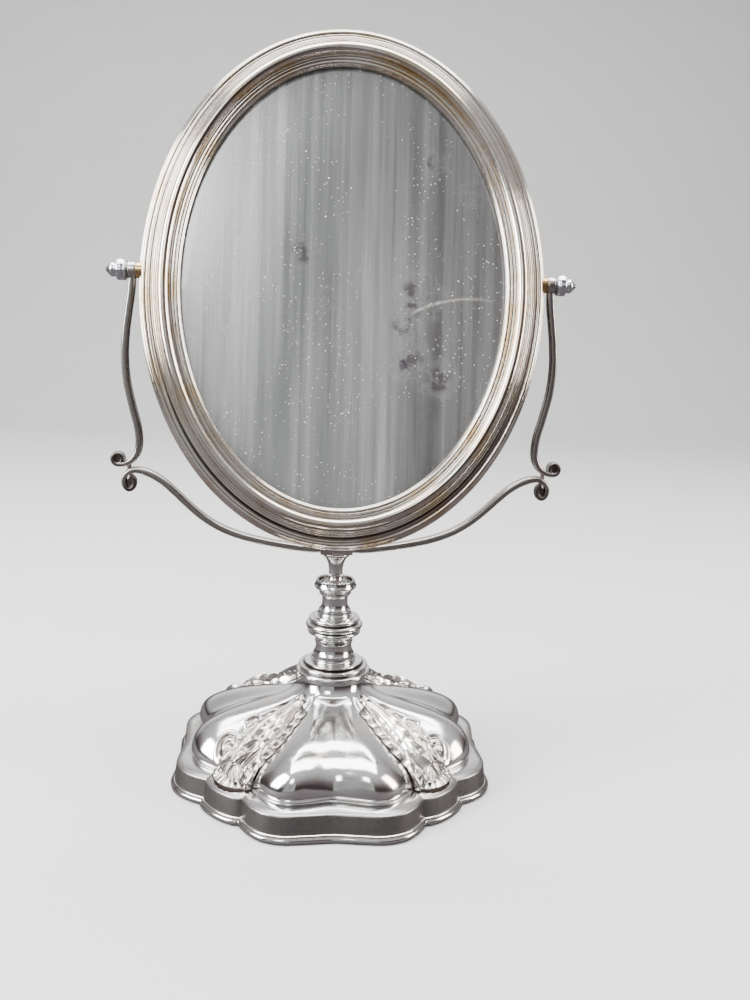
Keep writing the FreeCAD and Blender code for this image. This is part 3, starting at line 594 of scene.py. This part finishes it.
def skin_level(across, along):
    """Level of the bell's skin over points of the plan."""
    at_angle = off_lobe(np.degrees(np.arctan2(across, -along))) / 45.0 * (len(SKIN_ANGLES) - 1)
    at_radius = (np.hypot(across, along) - SKIN_RADII[0]) / (SKIN_RADII[1] - SKIN_RADII[0])
    at_radius = np.clip(at_radius, 0.0, len(SKIN_RADII) - 1.001)
    row = np.minimum(at_angle.astype(int), len(SKIN_ANGLES) - 2)
    column = at_radius.astype(int)
    down, right = at_angle - row, at_radius - column
    return ((SKIN[row, column] * (1 - right) + SKIN[row, column + 1] * right) * (1 - down)
            + (SKIN[row + 1, column] * (1 - right) + SKIN[row + 1, column + 1] * right) * down)


def base_shell():
    """Pressed shell: pillow lobes, a narrow ledge and an upright lobed wall."""
    rows = [plan(AROUND, bell_radius(AROUND, level), level)
            for level in np.linspace(NECK_TOP, BELL_FOOT + 0.2, 76)]
    foot = bell_radius(AROUND, BELL_FOOT)
    edge = outline_radius(AROUND)
    ledge = ((0.06, 0.05), (0.2, 0.0), (0.4, -0.15), (0.6, -0.5), (0.8, -1.05), (0.93, -1.5))
    rows += [plan(AROUND, foot + (edge - foot) * share, LEDGE + rise) for share, rise in ledge]
    wall = ((-0.15, LEDGE - 1.8), (0.1, LEDGE - 2.3), (0.2, LEDGE - 3.2), (0.5, 11.6), (0.9, 8.0),
            (1.3, 5.0), (1.6, 2.3))
    rows += [plan(AROUND, edge + offset, level) for offset, level in wall]
    outside = np.stack(rows)
    radius = radius_of(outside)
    inner = outside[::-1].copy()
    inner[..., :2] *= ((radius[::-1] - SHEET) / radius[::-1])[..., None]
    inner[..., 2] = np.where(inner[..., 2] > LEDGE - 1.0, inner[..., 2] - SHEET, inner[..., 2])
    inner[-1, :, 2] = NECK_TOP
    grid = np.concatenate([outside, inner])
    level = grid[..., 2]
    # Tarnish in the creases low on the bell and along the bell's foot; the whole upright wall is painted
    # dark by its level alone, a painted dark reflection
    wall_painted_reflection = (level < LEDGE - 1.0) & (level > 2.4)
    crease = np.exp(-((off_lobe(AROUND) - crease_at(level)) / 2.0) ** 2)
    low_bell = unit((44.0 - level) / 12.0) * (level > LEDGE + 1.0)
    foot_line = np.exp(-((level - 17.4) / 0.9) ** 2) * (radius_of(grid) < 84.0)
    patina_and_painted_reflection = np.maximum(np.maximum(wall_painted_reflection * 0.55, crease * low_bell * 0.75), foot_line * 0.6)
    Piece("base_shell_pressed").add(grid, patina_and_painted_reflection).build(bright_silver, "stand", "base_shell")


def foot_rim():
    """Rolled bead with a thin step, soldered round the foot of the wall."""
    section = softened(sampled([(0.4, 0.3), (2.8, 0.3), (2.9, 3.5, -0.75), (2.1, 3.7), (1.9, 4.4),
                                (1.3, 4.7), (0.4, 4.7)], 0.25), 0.2)
    edge = outline_radius(AROUND)
    rows = [plan(AROUND, edge + offset, level) for offset, level in section]
    patina_and_painted_reflection = np.array([0.8 if 3.4 < level < 4.0 else 0.0 for _, level in section])[:, None]
    Piece("foot_bead").add(np.stack(rows), patina_and_painted_reflection).build(bright_silver, "stand", "foot_rim")


# ---- corner mounts

CORNER_TURN = math.radians(45.0)
UNDERSIDE = -0.6


def closed_below(over):
    """A grid of rows, each closed by a flat underside sunk in the skin."""
    under = over[:, ::-1].copy()
    under[..., 2] = UNDERSIDE
    return np.concatenate([over, under], 1)


class Casting:
    """An ornament drawn on one corner lobe: reach from the middle, offset aside, height off the skin."""

    def __init__(self, name, turn, hand):
        self.piece = Piece(name)
        self.turn = math.radians(turn)
        self.hand = hand

    def lay(self, grid):
        """Lay a grid of (reach, aside, height) on the skin; low points are darkened."""
        reach, aside, height = grid[..., 0], grid[..., 1] * self.hand, grid[..., 2]
        out_across, out_along = math.sin(CORNER_TURN), -math.cos(CORNER_TURN)
        across = reach * out_across - aside * out_along
        along = reach * out_along + aside * out_across
        level = skin_level(across, along)
        step, steepest = 0.8, 2.2
        outer = skin_level(across + step * out_across, along + step * out_along)
        slope = np.clip((level - outer) / step, 0.0, steepest)
        lean = 1.0 / np.sqrt(1.0 + slope ** 2)
        across = across + height * slope * lean * out_across
        along = along + height * slope * lean * out_along
        level = level + height * lean
        cosine, sine = math.cos(self.turn), math.sin(self.turn)
        points = np.stack([across * cosine - along * sine, across * sine + along * cosine, level], -1)
        self.piece.add(points, unit((1.7 - height) / 1.5) ** 1.2, capped=True)

    def leaf(self, line, tangent, halves, spread, tops):
        """Lay a leaf along a line, with its tops across the spread of its half widths."""
        side = np.stack([-tangent[:, 1], tangent[:, 0]], -1)
        over = line[:, None] + side[:, None] * spread[:, None] * halves[:, None, None]
        self.lay(closed_below(np.concatenate([over, tops[..., None]], -1)))

    def petal(self, start, heading, length, width, lift, curl):
        """A pointed leaf with a raised midrib, bending aside by curl and lifting towards its tip."""
        count = 16
        share = np.linspace(0.0, 1.0, count)
        angle = math.radians(heading) + math.radians(curl) * share ** 1.3
        tangent = np.stack([np.cos(angle), np.sin(angle)], -1)
        walked = np.cumsum(tangent[:-1] * length / (count - 1), axis=0)
        line = np.array(start) + np.concatenate([[[0.0, 0.0]], walked])
        half = width * np.sin(np.pi * unit(share * 0.93 + 0.05)) ** 0.75
        spread = np.linspace(-1.0, 1.0, 9)
        crest = 0.55 + 0.45 * np.cos(spread * math.pi * 1.5) * (1.0 - 0.35 * np.abs(spread))
        crown = np.sqrt(unit(1.0 - spread ** 2)) ** 0.6
        rise = lift * (0.45 + 0.75 * np.sin(share * math.pi * 0.72) ** 1.5)
        self.leaf(line, tangent, half, spread, 0.25 + rise[:, None] * crest * crown)

    def blade(self, spine, halves, height, flutes):
        """The main acanthus leaf: flutes running along a spine, with a scalloped edge."""
        count, scallops = 60, 6.0
        share = np.linspace(0.0, 1.0, count)
        line = flowing(spine, count)
        tangent = np.gradient(line, axis=0)
        tangent /= np.linalg.norm(tangent, axis=1)[:, None]
        half = stations(halves, count) * (0.95 + 0.10 * np.abs(np.sin(share * math.pi * scallops)))
        spread = np.linspace(-1.0, 1.0, 49)
        ridge = 0.5 + 0.5 * np.cos(spread * math.pi * flutes)
        dome = unit(1.0 - np.abs(spread) ** 4)
        body = height * np.sin(math.pi * np.minimum(1.0, 0.12 + share * 0.8)) ** 0.6
        tops = 0.3 + body[:, None] * dome * (0.15 + 0.85 * ridge ** 0.8)
        self.leaf(line, tangent, half, spread, tops)

    def cord(self, path, widths, heights):
        """A rounded rib following a path of (reach, aside)."""
        count = 64
        width, height = stations(widths, count), stations(heights, count)
        route = np.concatenate([flowing(path, count), (height - width)[:, None]], 1)
        self.lay(tube(route, width, UPRIGHT, 14, 1.15))

    def boss(self, centre, radius, height, lobes=0):
        """A domed button, plain or petalled."""
        rows = []
        angles = full_turn(40)
        petals = 0.14 * np.cos(angles * lobes) * (lobes > 0)
        for climb in np.linspace(0.0, math.pi / 2.0, 12):
            edge = (radius * math.cos(climb) ** 0.8 + 0.02) * (1.0 + petals)
            rows.append(np.stack([centre[0] + edge * np.cos(angles), centre[1] + edge * np.sin(angles),
                                  np.full(len(angles), height * math.sin(climb))], -1))
        self.lay(np.array(rows))

    def shell(self, hinge, radius, spread, ribs, height):
        """A scallop shell fanned out from its hinge."""
        rows = []
        angles = np.radians(np.linspace(-spread, spread, ribs * 8 + 1))
        flute = np.abs(np.cos(np.linspace(0.0, ribs * math.pi, len(angles))))
        for share in np.linspace(0.12, 1.0, 18):
            edge = radius * share * (1.0 + 0.07 * flute * share)
            body = height * math.sin(math.pi * (0.18 + 0.72 * share)) ** 0.8
            top = 0.35 + body * (0.25 + 0.75 * flute ** 0.7)
            rows.append(np.stack([hinge[0] + edge * np.cos(angles),
                                  hinge[1] + edge * np.sin(angles) * 1.12, top], -1))
        self.lay(closed_below(np.array(rows)))


def corner_mount(name, turn, hand):
    """Acanthus spray from the neck to the foot, with a scroll beside it and a shell at its end."""
    casting = Casting("acanthus_" + name, turn, hand)
    casting.blade([(25.0, 0.5), (34.0, 1.0), (46.0, 1.8), (57.0, 2.0), (67.0, 1.0), (76.0, 0.0)],
                  [2.6, 6.2, 10.2, 12.4, 11.6, 6.0], 3.1, 7.0)
    for share in np.linspace(0.0, 1.0, 7):
        casting.petal((29.0 + 41.0 * share, -2.5 - 8.5 * math.sin(0.3 + 2.1 * share)),
                      -38.0 + 22.0 * share, 11.0 - 2.5 * share, 3.3, 3.6, 34.0)
    for share in np.linspace(0.0, 1.0, 5):
        casting.petal((28.0 + 28.0 * share, 3.0 + 8.0 * share), 42.0 - 14.0 * share, 10.0, 2.9, 3.4, -36.0)
    for number in range(4):
        casting.petal((37.0 + 9.0 * number, 3.0 - 2.6 * number), -10.0 + 8.0 * number, 15.0, 2.6, 4.6, 18.0)
    eye = (68.0, 12.0)
    lead = [(42.0, 9.5), (50.0, 12.0), (57.0, 11.5)]
    casting.cord(lead + scroll(eye, 7.8, 1.0, 215.0, -560.0, count=29, ease=0.75),
                 [0.8, 1.5, 1.9, 1.8, 1.4, 1.1], [1.8, 3.2, 3.9, 4.0, 4.3, 4.6])
    casting.boss(eye, 2.2, 4.4)
    casting.cord([(44.0, 9.0), (48.0, 14.0), (53.0, 15.0), (54.5, 11.5), (51.5, 10.5)],
                 [0.7, 1.4, 1.5, 1.2, 1.0], [1.8, 3.0, 3.2, 3.2, 3.4])
    casting.cord([(62.0, -7.0), (69.0, -11.5), (74.5, -13.0), (75.5, -9.5), (72.0, -8.5)],
                 [0.7, 1.5, 1.6, 1.3, 1.1], [1.8, 3.0, 3.4, 3.4, 3.6])
    casting.shell((73.0, 0.0), 12.0, 84.0, 9, 4.0)
    casting.boss((72.5, 0.0), 3.0, 4.4)
    casting.petal((74.0, -9.0), -58.0, 7.0, 2.6, 2.8, 60.0)
    casting.petal((75.0, 9.0), 58.0, 7.0, 2.6, 2.8, -60.0)
    rosette = (26.5, 0.5)
    casting.boss(rosette, 4.0, 2.6, lobes=6)
    casting.boss(rosette, 2.0, 4.0)
    casting.petal((28.5, -4.0), -34.0, 11.0, 2.5, 3.8, 26.0)
    casting.petal((28.5, 4.6), 34.0, 11.0, 2.5, 3.8, -26.0)
    casting.piece.build(cast_silver, "stand", "corner_mount_" + name, crease=50.0)


# ---- stem

STEM_BORE = 3.2

# The turned pieces from the base up: node, name, then the outline as (radius past the node's rim, level,
# bulge), first with levels over the node's foot and then with levels from its top
STEM = [
    ("collar_ring", "collar_turned", [
        (-2.8, 0.0), (-2.8, 0.3), (-1.15, 0.5), (-1.15, 2.7, -1.05), (-2.9, 2.9), (-3.2, 3.9, 0.35),
        (-2.3, 4.1), (-2.5, 5.7, -0.75), (-3.9, 5.8), (-5.8, 6.3, 0.25)], [(-5.0, 0.0, -0.4)]),
    ("lower_vase", "lower_vase_turned", [
        (-0.1, 0.0), (0.0, 1.7, -0.45), (-0.5, 2.1), (-0.7, 4.6, 0.15), (-2.2, 9.6, 0.5), (-2.4, 11.0),
        (-1.7, 12.2, -0.4)], [(-1.8, 0.0)]),
    ("centre_knop", "knop_turned", [
        (-6.0, 0.0), (-4.4, 2.6, 0.5), (-3.6, 3.0), (-2.4, 3.4), (-2.2, 5.7, -1.1), (-3.3, 5.9),
        (-3.3, 6.5), (-1.6, 6.7), (-1.8, 10.0, -1.55), (-3.3, 10.2), (-3.4, 10.8), (-2.7, 11.0),
        (-3.2, 13.1, -1.0), (-4.8, 13.3)], [(-4.6, 0.0)]),
    ("upper_vase", "upper_vase_turned", [
        (-0.3, 0.0), (-0.3, 1.6, -0.4), (-0.6, 2.0), (-0.5, 3.4), (-2.4, 8.2, 0.6), (-2.4, 10.3)],
        [(-2.2, 0.0)]),
    ("cup_ring", "cup_turned", [
        (-4.4, 0.0), (-4.0, 1.0), (-3.0, 2.4, -0.45), (-3.1, 3.0), (-2.3, 4.2), (-0.3, 5.6, -0.3),
        (-0.2, 7.0, -0.35)], [(-1.0, -0.5, 0.15), (-1.6, 0.0, -0.3), (-2.6, -0.5), (-4.6, -3.0, 0.4)]),
    ("stem_trumpet", "trumpet_turned", [
        (-1.1, 0.0), (-1.1, 1.6, -0.5), (-2.0, 2.1), (-3.7, 6.4, 0.7), (-1.3, 16.4, 0.9),
        (-0.1, 17.6, -0.25)], [(-0.2, 0.0)])]


def turned(name, steps, node):
    """A piece turned about the stem, darkened where it is thinner than its neighbourhood."""
    outline = softened(sampled(steps, 0.3), 0.22)
    patina_and_painted_reflection = np.where(outline[:, 0] < STEM_BORE + 0.4, 0.0, hollows(outline[:, ::-1], 1.1, 1.0))
    Piece(name).add(ring_of(outline, 128), patina_and_painted_reflection[:, None]).build(bright_silver, "stand", node)


def stem():
    """Six turned pieces on the tie rod, each from its own node's radius and levels."""
    for node, name, lower, upper in STEM:
        rim, foot, top = high(node)[0], low(node)[2], high(node)[2]
        steps = [(STEM_BORE, foot)] + shifted(lower, rim, foot) + shifted(upper, rim, top)
        turned(name, steps + [(STEM_BORE, steps[-1][1])], node)


# ---- yoke

UPPER_ARM = [(113.4, 281.8), (114.0, 275.0), (115.4, 266.0), (117.2, 253.0), (118.0, 241.0), (117.1, 227.0),
             (114.3, 213.0), (111.5, 201.0), (110.9, 192.0), (112.1, 187.0), (115.0, 182.9), (118.7, 180.9)]
# Centre, first and last radius, start and sweep in degrees, and stretch of each rolled end
UPPER_SCROLL = ((122.5, 183.6), 3.1, 2.5, -90.0, 330.0, 1.0)
LOWER_ARM = [(8.6, 133.9), (16.0, 133.9), (30.0, 135.6), (45.0, 138.3), (55.0, 140.9), (66.0, 145.2),
             (76.0, 151.4), (84.0, 158.2), (91.0, 165.0), (98.0, 171.2), (105.0, 175.4), (110.5, 177.2),
             (114.2, 177.3)]
LOWER_SCROLL = ((116.3, 170.6), 3.5, 2.2, 62.0, -330.0, 1.45)
BAR_HALF_THICKNESS = 2.0
BAR_HALF_DEPTH = 3.2
ROLLED_LENGTH = 19.0
EYE_FACE, EYE_BACK = 111.2, 115.6


def along_pivot(outline, count=64, wobble=None):
    """An outline of (distance from the middle, radius) turned about the pivot axis."""
    grid = ring_of(np.stack([outline[:, 1], outline[:, 0]], 1), count, wobble)
    return np.stack([grid[..., 2], grid[..., 0], grid[..., 1] + PIVOT], -1)


def arm(name, node, points, curl, side, has_eye):
    """A rounded flat bar that thins out into a scroll; an upper arm has an eye at its top."""
    line = flowing(points + scroll(*curl), 220)
    share = np.linspace(0.0, 1.0, len(line))
    rolled = 1.0 - ROLLED_LENGTH / (np.linalg.norm(np.diff(line, axis=0), axis=1).sum())
    taper = np.interp(share, [0.0, 0.02, rolled - 0.09, rolled, 1.0], [0.9, 1.0, 1.0, 0.74, 0.6])
    half = BAR_HALF_THICKNESS * taper
    path = np.stack([line[:, 0], 0.0 * share, line[:, 1]], -1)
    deep = BAR_HALF_DEPTH / half * np.interp(share, [0.0, 0.9, 1.0], [1.0, 1.0, 0.9])
    sides = 28
    bar = tube(path, half, TO_BACK, sides, deep, power=3.4)
    edge = np.abs(np.cos(full_turn(sides)))
    piece = Piece(name)
    flip = np.array([side, 1.0, 1.0])
    inside = np.clip((share - rolled) * 9.0, 0.0, 0.5)[:, None]
    piece.add(bar * flip, (0.34 - 0.3 * edge)[None, :] + inside, capped=True)
    button = softened(sampled([(0.0, -2.2), (1.3, -2.2), (1.6, -1.8, -0.1), (1.6, 1.8), (1.3, 2.2, -0.1),
                               (0.0, 2.2)], 0.3), 0.2, closed=False)
    disc = ring_of(np.stack([np.maximum(button[:, 0], 0.01), button[:, 1]], 1), 32)
    (across, up), stretch = curl[0], curl[5]
    hub = np.stack([disc[..., 0], disc[..., 2], disc[..., 1] * stretch], -1) + (across, 0.0, up)
    piece.add(hub * flip, 0.75, capped=True)
    if has_eye:
        ring = [(EYE_FACE, 2.9), (EYE_FACE, 3.9), (EYE_FACE + 0.8, 4.7, 0.25), (EYE_BACK - 0.8, 4.7),
                (EYE_BACK, 3.9, 0.25), (EYE_BACK, 2.9)]
        piece.add(along_pivot(softened(sampled(ring, 0.3), 0.2)) * flip, 0.12)
    piece.build(yoke_silver, "stand", node)


def yoke():
    """Two upper arms, each on the lower arm that meets it."""
    for side, name in ((-1.0, "left"), (1.0, "right")):
        arm("upper_bar_" + name, "upper_arm_" + name, UPPER_ARM, UPPER_SCROLL, side, True)
        arm("lower_bar_" + name, "lower_arm_" + name, LOWER_ARM, LOWER_SCROLL, side, False)


def thumb_nuts():
    """Acorn nuts: a skirt with shallow finger flats, a waist and a pointed dome."""
    radius, bore, depth = 5.8, 1.95, 6.2
    skirt_and_waist = [(0.0, -1.4), (0.9, -0.15, 0.25), (1.5, -0.55), (2.0, -0.1, 0.15), (4.3, -0.1, 0.1),
                       (5.2, -1.1, 0.25), (5.5, -2.5), (6.0, -2.6), (7.0, -1.9, 0.25), (8.9, -2.7, 0.3)]
    face, end = low("thumb_nut_right")[0], high("thumb_nut_right")[0]
    dome = [(end - 0.7, 1.4, 0.1), (end, 0.02, 0.25), (face + depth, 0.02), (face + depth, bore)]
    outline = [(face, bore)] + shifted(skirt_and_waist, face, radius) + dome

    def flats(shape, angles):
        skirt = (shape[:, 1] > face + 1.2) & (shape[:, 1] < face + 5.0) & (shape[:, 0] > radius - 1.3)
        return np.where(skirt[:, None], -0.035 + 0.035 * np.cos(angles * 10.0)[None, :], 0.0)

    grid = along_pivot(softened(sampled(outline, 0.25), 0.2), 120, flats)
    for side, name in ((-1.0, "left"), (1.0, "right")):
        nut = Piece("acorn_nut_" + name).add(grid * (side, 1.0, 1.0))
        nut.build(nut_plate, name + "_nut", "thumb_nut_" + name)


# ---- mirror head

BOARD_EDGE, BOARD_BACK, BOARD_FRONT = 20.6, -7.3, -4.5
SCREW_LINE = 11.6


def oval_ring(name, node, steps, spacing, reach, depth):
    """A moulding swept round the oval, darkened in its grooves."""
    section = softened(sampled(steps, spacing), 0.15)
    patina_and_painted_reflection = hollows(section, reach, depth)[:, None]
    Piece(name).add(oval_sweep(section), patina_and_painted_reflection).build(frame_silver, "mirror_head", node)


def mirror_frame():
    """The polished torus moulding and the stepped outer rim."""
    oval_ring("moulding_ring", "front_moulding", [
        (0.0, 5.1), (0.0, 8.7), (0.4, 9.1), (3.1, 9.6, 1.05), (3.6, 8.8), (4.4, 8.7), (5.6, 10.6, -0.6),
        (5.9, 11.6), (11.4, 11.6, 2.45), (11.8, 10.7), (12.3, 10.5), (12.9, 10.5, 0.25), (13.1, 9.8),
        (13.5, 9.7), (14.1, 9.4, 0.2), (14.3, 8.7), (14.8, 8.6), (15.3, 8.3, 0.2), (15.5, 7.6),
        (18.2, 4.8, -0.95), (18.6, 4.6), (18.6, 3.2), (14.4, 6.6), (11.4, 9.4), (8.9, 11.2), (6.6, 9.6),
        (4.8, 7.4), (4.8, 5.1)], 0.3, 1.4, 0.7)
    oval_ring("rim_ring", "outer_rim", [
        (18.7, 3.2), (18.7, 4.7), (19.1, 4.9), (21.2, 2.9, 0.8), (21.4, 2.3), (21.9, 2.1), (22.1, 1.5),
        (22.7, 0.9, 0.2), (22.5, 0.2), (23.0, -0.6, 0.2), (23.0, -3.4), (22.6, -3.8), (22.6, -6.9),
        (22.9, -7.4, 0.1), (22.6, -8.0), (21.0, -8.0), (21.0, 1.0)], 0.25, 0.9, 0.6)


def back_board():
    """Oval board with an eased edge and a shallow raised field."""
    centre = 0.02 - LIP_HALF_WIDTH
    outline = [(centre, BOARD_BACK + 0.15), (-30.0, BOARD_BACK + 0.15), (-2.0, BOARD_BACK + 0.1),
               (-0.5, BOARD_BACK + 0.6), (0.6, BOARD_BACK + 0.6), (1.6, BOARD_BACK),
               (BOARD_EDGE - 0.7, BOARD_BACK), (BOARD_EDGE - 0.2, BOARD_BACK + 0.3),
               (BOARD_EDGE, BOARD_BACK + 0.9), (BOARD_EDGE, BOARD_FRONT), (centre, BOARD_FRONT)]
    section = softened(np.array(outline), 0.3, closed=False)
    count = 240
    angles = full_turn(count)
    rows = []
    for outward, forward in section:
        if outward < -1.0:
            shrink = (LIP_HALF_WIDTH + outward) / (LIP_HALF_WIDTH - 1.0)
            half_width, half_height = shrink * (LIP_HALF_WIDTH - 1.0), shrink * (LIP_HALF_HEIGHT - 1.0)
            rows.append(on_head(np.stack([half_width * np.cos(angles), np.full(count, forward),
                                          half_height * np.sin(angles) - OVAL_DROP], -1)))
        else:
            rows.append(oval_sweep(np.array([[outward, forward]]), count)[0])
    Piece("back_board").add(np.stack(rows), capped=True).build(
        stained_board(), "mirror_head", "back_panel", slot="back_board")


def board_screws():
    """Slotted round-head screws round the edge of the board."""
    piece = Piece("board_screws")
    around = full_turn(48)
    head = [(2.6, -0.1), (2.6, 0.25), (2.4, 0.62), (1.95, 0.92), (1.3, 1.12), (0.7, 1.2), (0.3, 1.2)]
    for number in range(6):
        angle = math.radians(30.0 + 60.0 * number)
        across = (LIP_HALF_WIDTH + SCREW_LINE) * math.cos(angle)
        above = (LIP_HALF_HEIGHT + SCREW_LINE) * math.sin(angle) - OVAL_DROP
        slot = 0.9 * number + 0.4
        rows = []
        for radius, rise in head:
            ring_across, ring_above = radius * np.cos(around), radius * np.sin(around)
            off_slot = np.abs(ring_across * math.sin(slot) - ring_above * math.cos(slot))
            depth = np.where(off_slot < 0.36, 0.55, 0.0) * (rise > 0.3)
            rows.append(np.stack([across + ring_across, BOARD_BACK - rise + depth, above + ring_above], -1))
        piece.add(on_head(np.array(rows)), capped=True)
    piece.build(brass, "mirror_head", "panel_screws", slot="brass", crease=30.0)


def cad_finishes():
    """Materials for the CAD pieces that stay as they are."""
    sheet_iron = turned_metal("sheet_iron", rgb(0.3, 0.3, 0.3), rgb(0.16, 0.13, 0.1), 0.4)
    kept = [
        (yoke_silver, ["yoke_hub", "arm_rivet_left", "arm_rivet_right"]),
        (brass, ["eye_bush_left", "eye_bush_right", "pivot_boss_left", "pivot_boss_right"]),
        (steel, ["pivot_stud_left", "pivot_stud_right", "spring_washer_left", "spring_washer_right",
                 "tie_rod", "tie_rod_washer", "tie_rod_nut", "plate_screws"]),
        (sheet_iron, ["bottom_plate"]), (cast_iron(), ["base_weight"]), (baize(), ["felt_pad"]),
        (plain_wood(), ["wood_liner"]), (pasteboard(), ["glass_packing"]), (aged_glass(), ["mirror_glass"])]
    for material, nodes in kept:
        for node in nodes:
            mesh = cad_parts[node].data
            mesh.materials.clear()
            mesh.materials.append(material)


# ---- studio

def floor():
    """A pale plain sweep: floor, a wide curve and a back wall. In the metal's reflections its foot is
    painted near black, a painted dark reflection.
    """
    half_width, start, flat_end, bend, top = 3.5, -2.6, 1.3, 0.7, 2.6
    profile = [(start, 0.0), (flat_end, 0.0)]
    profile += [(flat_end + bend * math.sin(turn), bend - bend * math.cos(turn))
                for turn in np.linspace(0.1, math.pi / 2.0, 16)]
    profile += [(flat_end + bend, top)]
    verts = [(side * half_width, along, up) for along, up in profile for side in (-1.0, 1.0)]
    faces = [(2 * index, 2 * index + 1, 2 * index + 3, 2 * index + 2) for index in range(len(profile) - 1)]
    mesh = bpy.data.meshes.new("sweep")
    mesh.from_pydata(verts, [], faces)
    mesh.polygons.foreach_set("use_smooth", [True] * len(faces))
    finish = Finish("pale_sweep")
    cloud = finish.noise(6.0, 3.0)
    pale = finish.blend(cloud, rgb(0.68, 0.675, 0.67), rgb(0.72, 0.715, 0.71))
    # Painted reflection: to glossy rays the sweep is near black at the floor and fades to white up the
    # wall.
    mirrored = finish.node("ShaderNodeLightPath", {}, output="Is Glossy Ray")
    height = finish.node("ShaderNodeSeparateXYZ", {"Vector": finish.place}, output="Z")
    around = finish.blend(finish.span(height, 0.12, 0.75), rgb(0.030, 0.024, 0.026), rgb(1.0, 1.0, 1.0))
    mesh.materials.append(finish.surface(Base_Color=finish.blend(mirrored, pale, around), Roughness=0.85))
    placed("sweep", mesh)


def soft_light(name, place, width, height, power, colour=(1.0, 1.0, 1.0)):
    """A rectangular lamp aimed at the middle of the mirror and stand."""
    middle = Vector((0.0, 0.0, 0.22))
    lamp = bpy.data.lights.new(name, "AREA")
    lamp.shape = "RECTANGLE"
    lamp.size, lamp.size_y, lamp.energy, lamp.color = width, height, power, colour
    light = placed(name, lamp)
    light.location = place
    light.rotation_mode = "QUATERNION"
    light.rotation_quaternion = (middle - Vector(place)).to_track_quat("-Z", "Y")


def wall_card():
    """A pale glowing wall panel behind the viewpoint, seen only in reflections: a dim lamp for them."""
    mesh = bpy.data.meshes.new("wall_card")
    left, right, near, bottom, top = -2.4, 0.16, -2.5, 0.0, 2.6
    mesh.from_pydata([(left, near, bottom), (right, near, bottom), (right, near, top), (left, near, top)],
                     [], [(0, 1, 2, 3)])
    finish = Finish("wall_card")
    tone = finish.span(finish.noise(1.4, 2.0), 0.3, 0.7, 0.26, 0.42)
    mesh.materials.append(finish.surface(Base_Color=rgb(0.1, 0.1, 0.1), Roughness=0.9,
                                         Emission_Color=rgb(0.92, 1.0, 0.96), Emission_Strength=tone))
    card = placed("wall_card", mesh)
    card.visible_camera = False


def surroundings():
    """A soft studio: dark at the horizon for contrast in the plate, lighter overhead."""
    world = bpy.data.worlds.new("studio")
    world.use_nodes = True
    bpy.context.scene.world = world
    tree = world.node_tree
    where = tree.nodes.new("ShaderNodeTexCoord").outputs["Generated"]
    split = tree.nodes.new("ShaderNodeSeparateXYZ")
    tree.links.new(where, split.inputs[0])
    ramp = tree.nodes.new("ShaderNodeMapRange")
    ramp.inputs["From Min"].default_value = -1.0
    tree.links.new(split.outputs["Z"], ramp.inputs["Value"])
    colours = tree.nodes.new("ShaderNodeValToRGB")
    stops = colours.color_ramp.elements
    stops[0].color, stops[1].color = rgb(0.25, 0.25, 0.25), rgb(0.9, 0.92, 0.95)
    for position, colour in ((0.46, rgb(0.05, 0.042, 0.045)), (0.58, rgb(0.06, 0.05, 0.052)),
                             (0.70, rgb(0.22, 0.18, 0.18)), (0.84, rgb(0.60, 0.59, 0.62))):
        stop = stops.new(position)
        stop.color = colour
    tree.links.new(ramp.outputs[0], colours.inputs[0])
    background = tree.nodes["Background"]
    tree.links.new(colours.outputs[0], background.inputs["Color"])
    background.inputs["Strength"].default_value = 0.9


def camera():
    """The viewpoint: just over half a metre in front, about level with the pivot, looking down."""
    yaw, down, roll = math.radians(-3.99), math.radians(12.36), math.radians(2.15)
    turn = (Matrix.Rotation(yaw, 4, "Z") @ Matrix.Rotation(math.pi / 2.0 - down, 4, "X")
            @ Matrix.Rotation(roll, 4, "Z"))
    data = bpy.data.cameras.new("view")
    data.sensor_width, data.lens, data.clip_start = 36.0, 36.31, 0.01
    seen_from = placed("view", data)
    seen_from.matrix_world = Matrix.Translation(Vector((-0.0179, -0.5600, 0.2861))) @ turn
    bpy.context.scene.camera = seen_from


base_shell()
foot_rim()
for number, corner in enumerate(["front_right", "back_right", "back_left", "front_left"]):
    corner_mount(corner, 90.0 * number, 1.0 - 2.0 * (number % 2))
stem()
yoke()
thumb_nuts()
mirror_frame()
back_board()
board_screws()
cad_finishes()
floor()
wall_card()
surroundings()
camera()
soft_light("key_light", (-1.25, -0.45, 0.80), 0.7, 1.1, 48.0)
soft_light("fill_light", (1.30, -0.25, 0.60), 0.45, 0.9, 20.0, (1.0, 0.96, 0.92))
soft_light("top_light", (0.0, 0.15, 1.30), 1.4, 1.0, 46.0)
soft_light("front_light", (-0.45, -1.30, 1.10), 0.45, 0.45, 6.0)
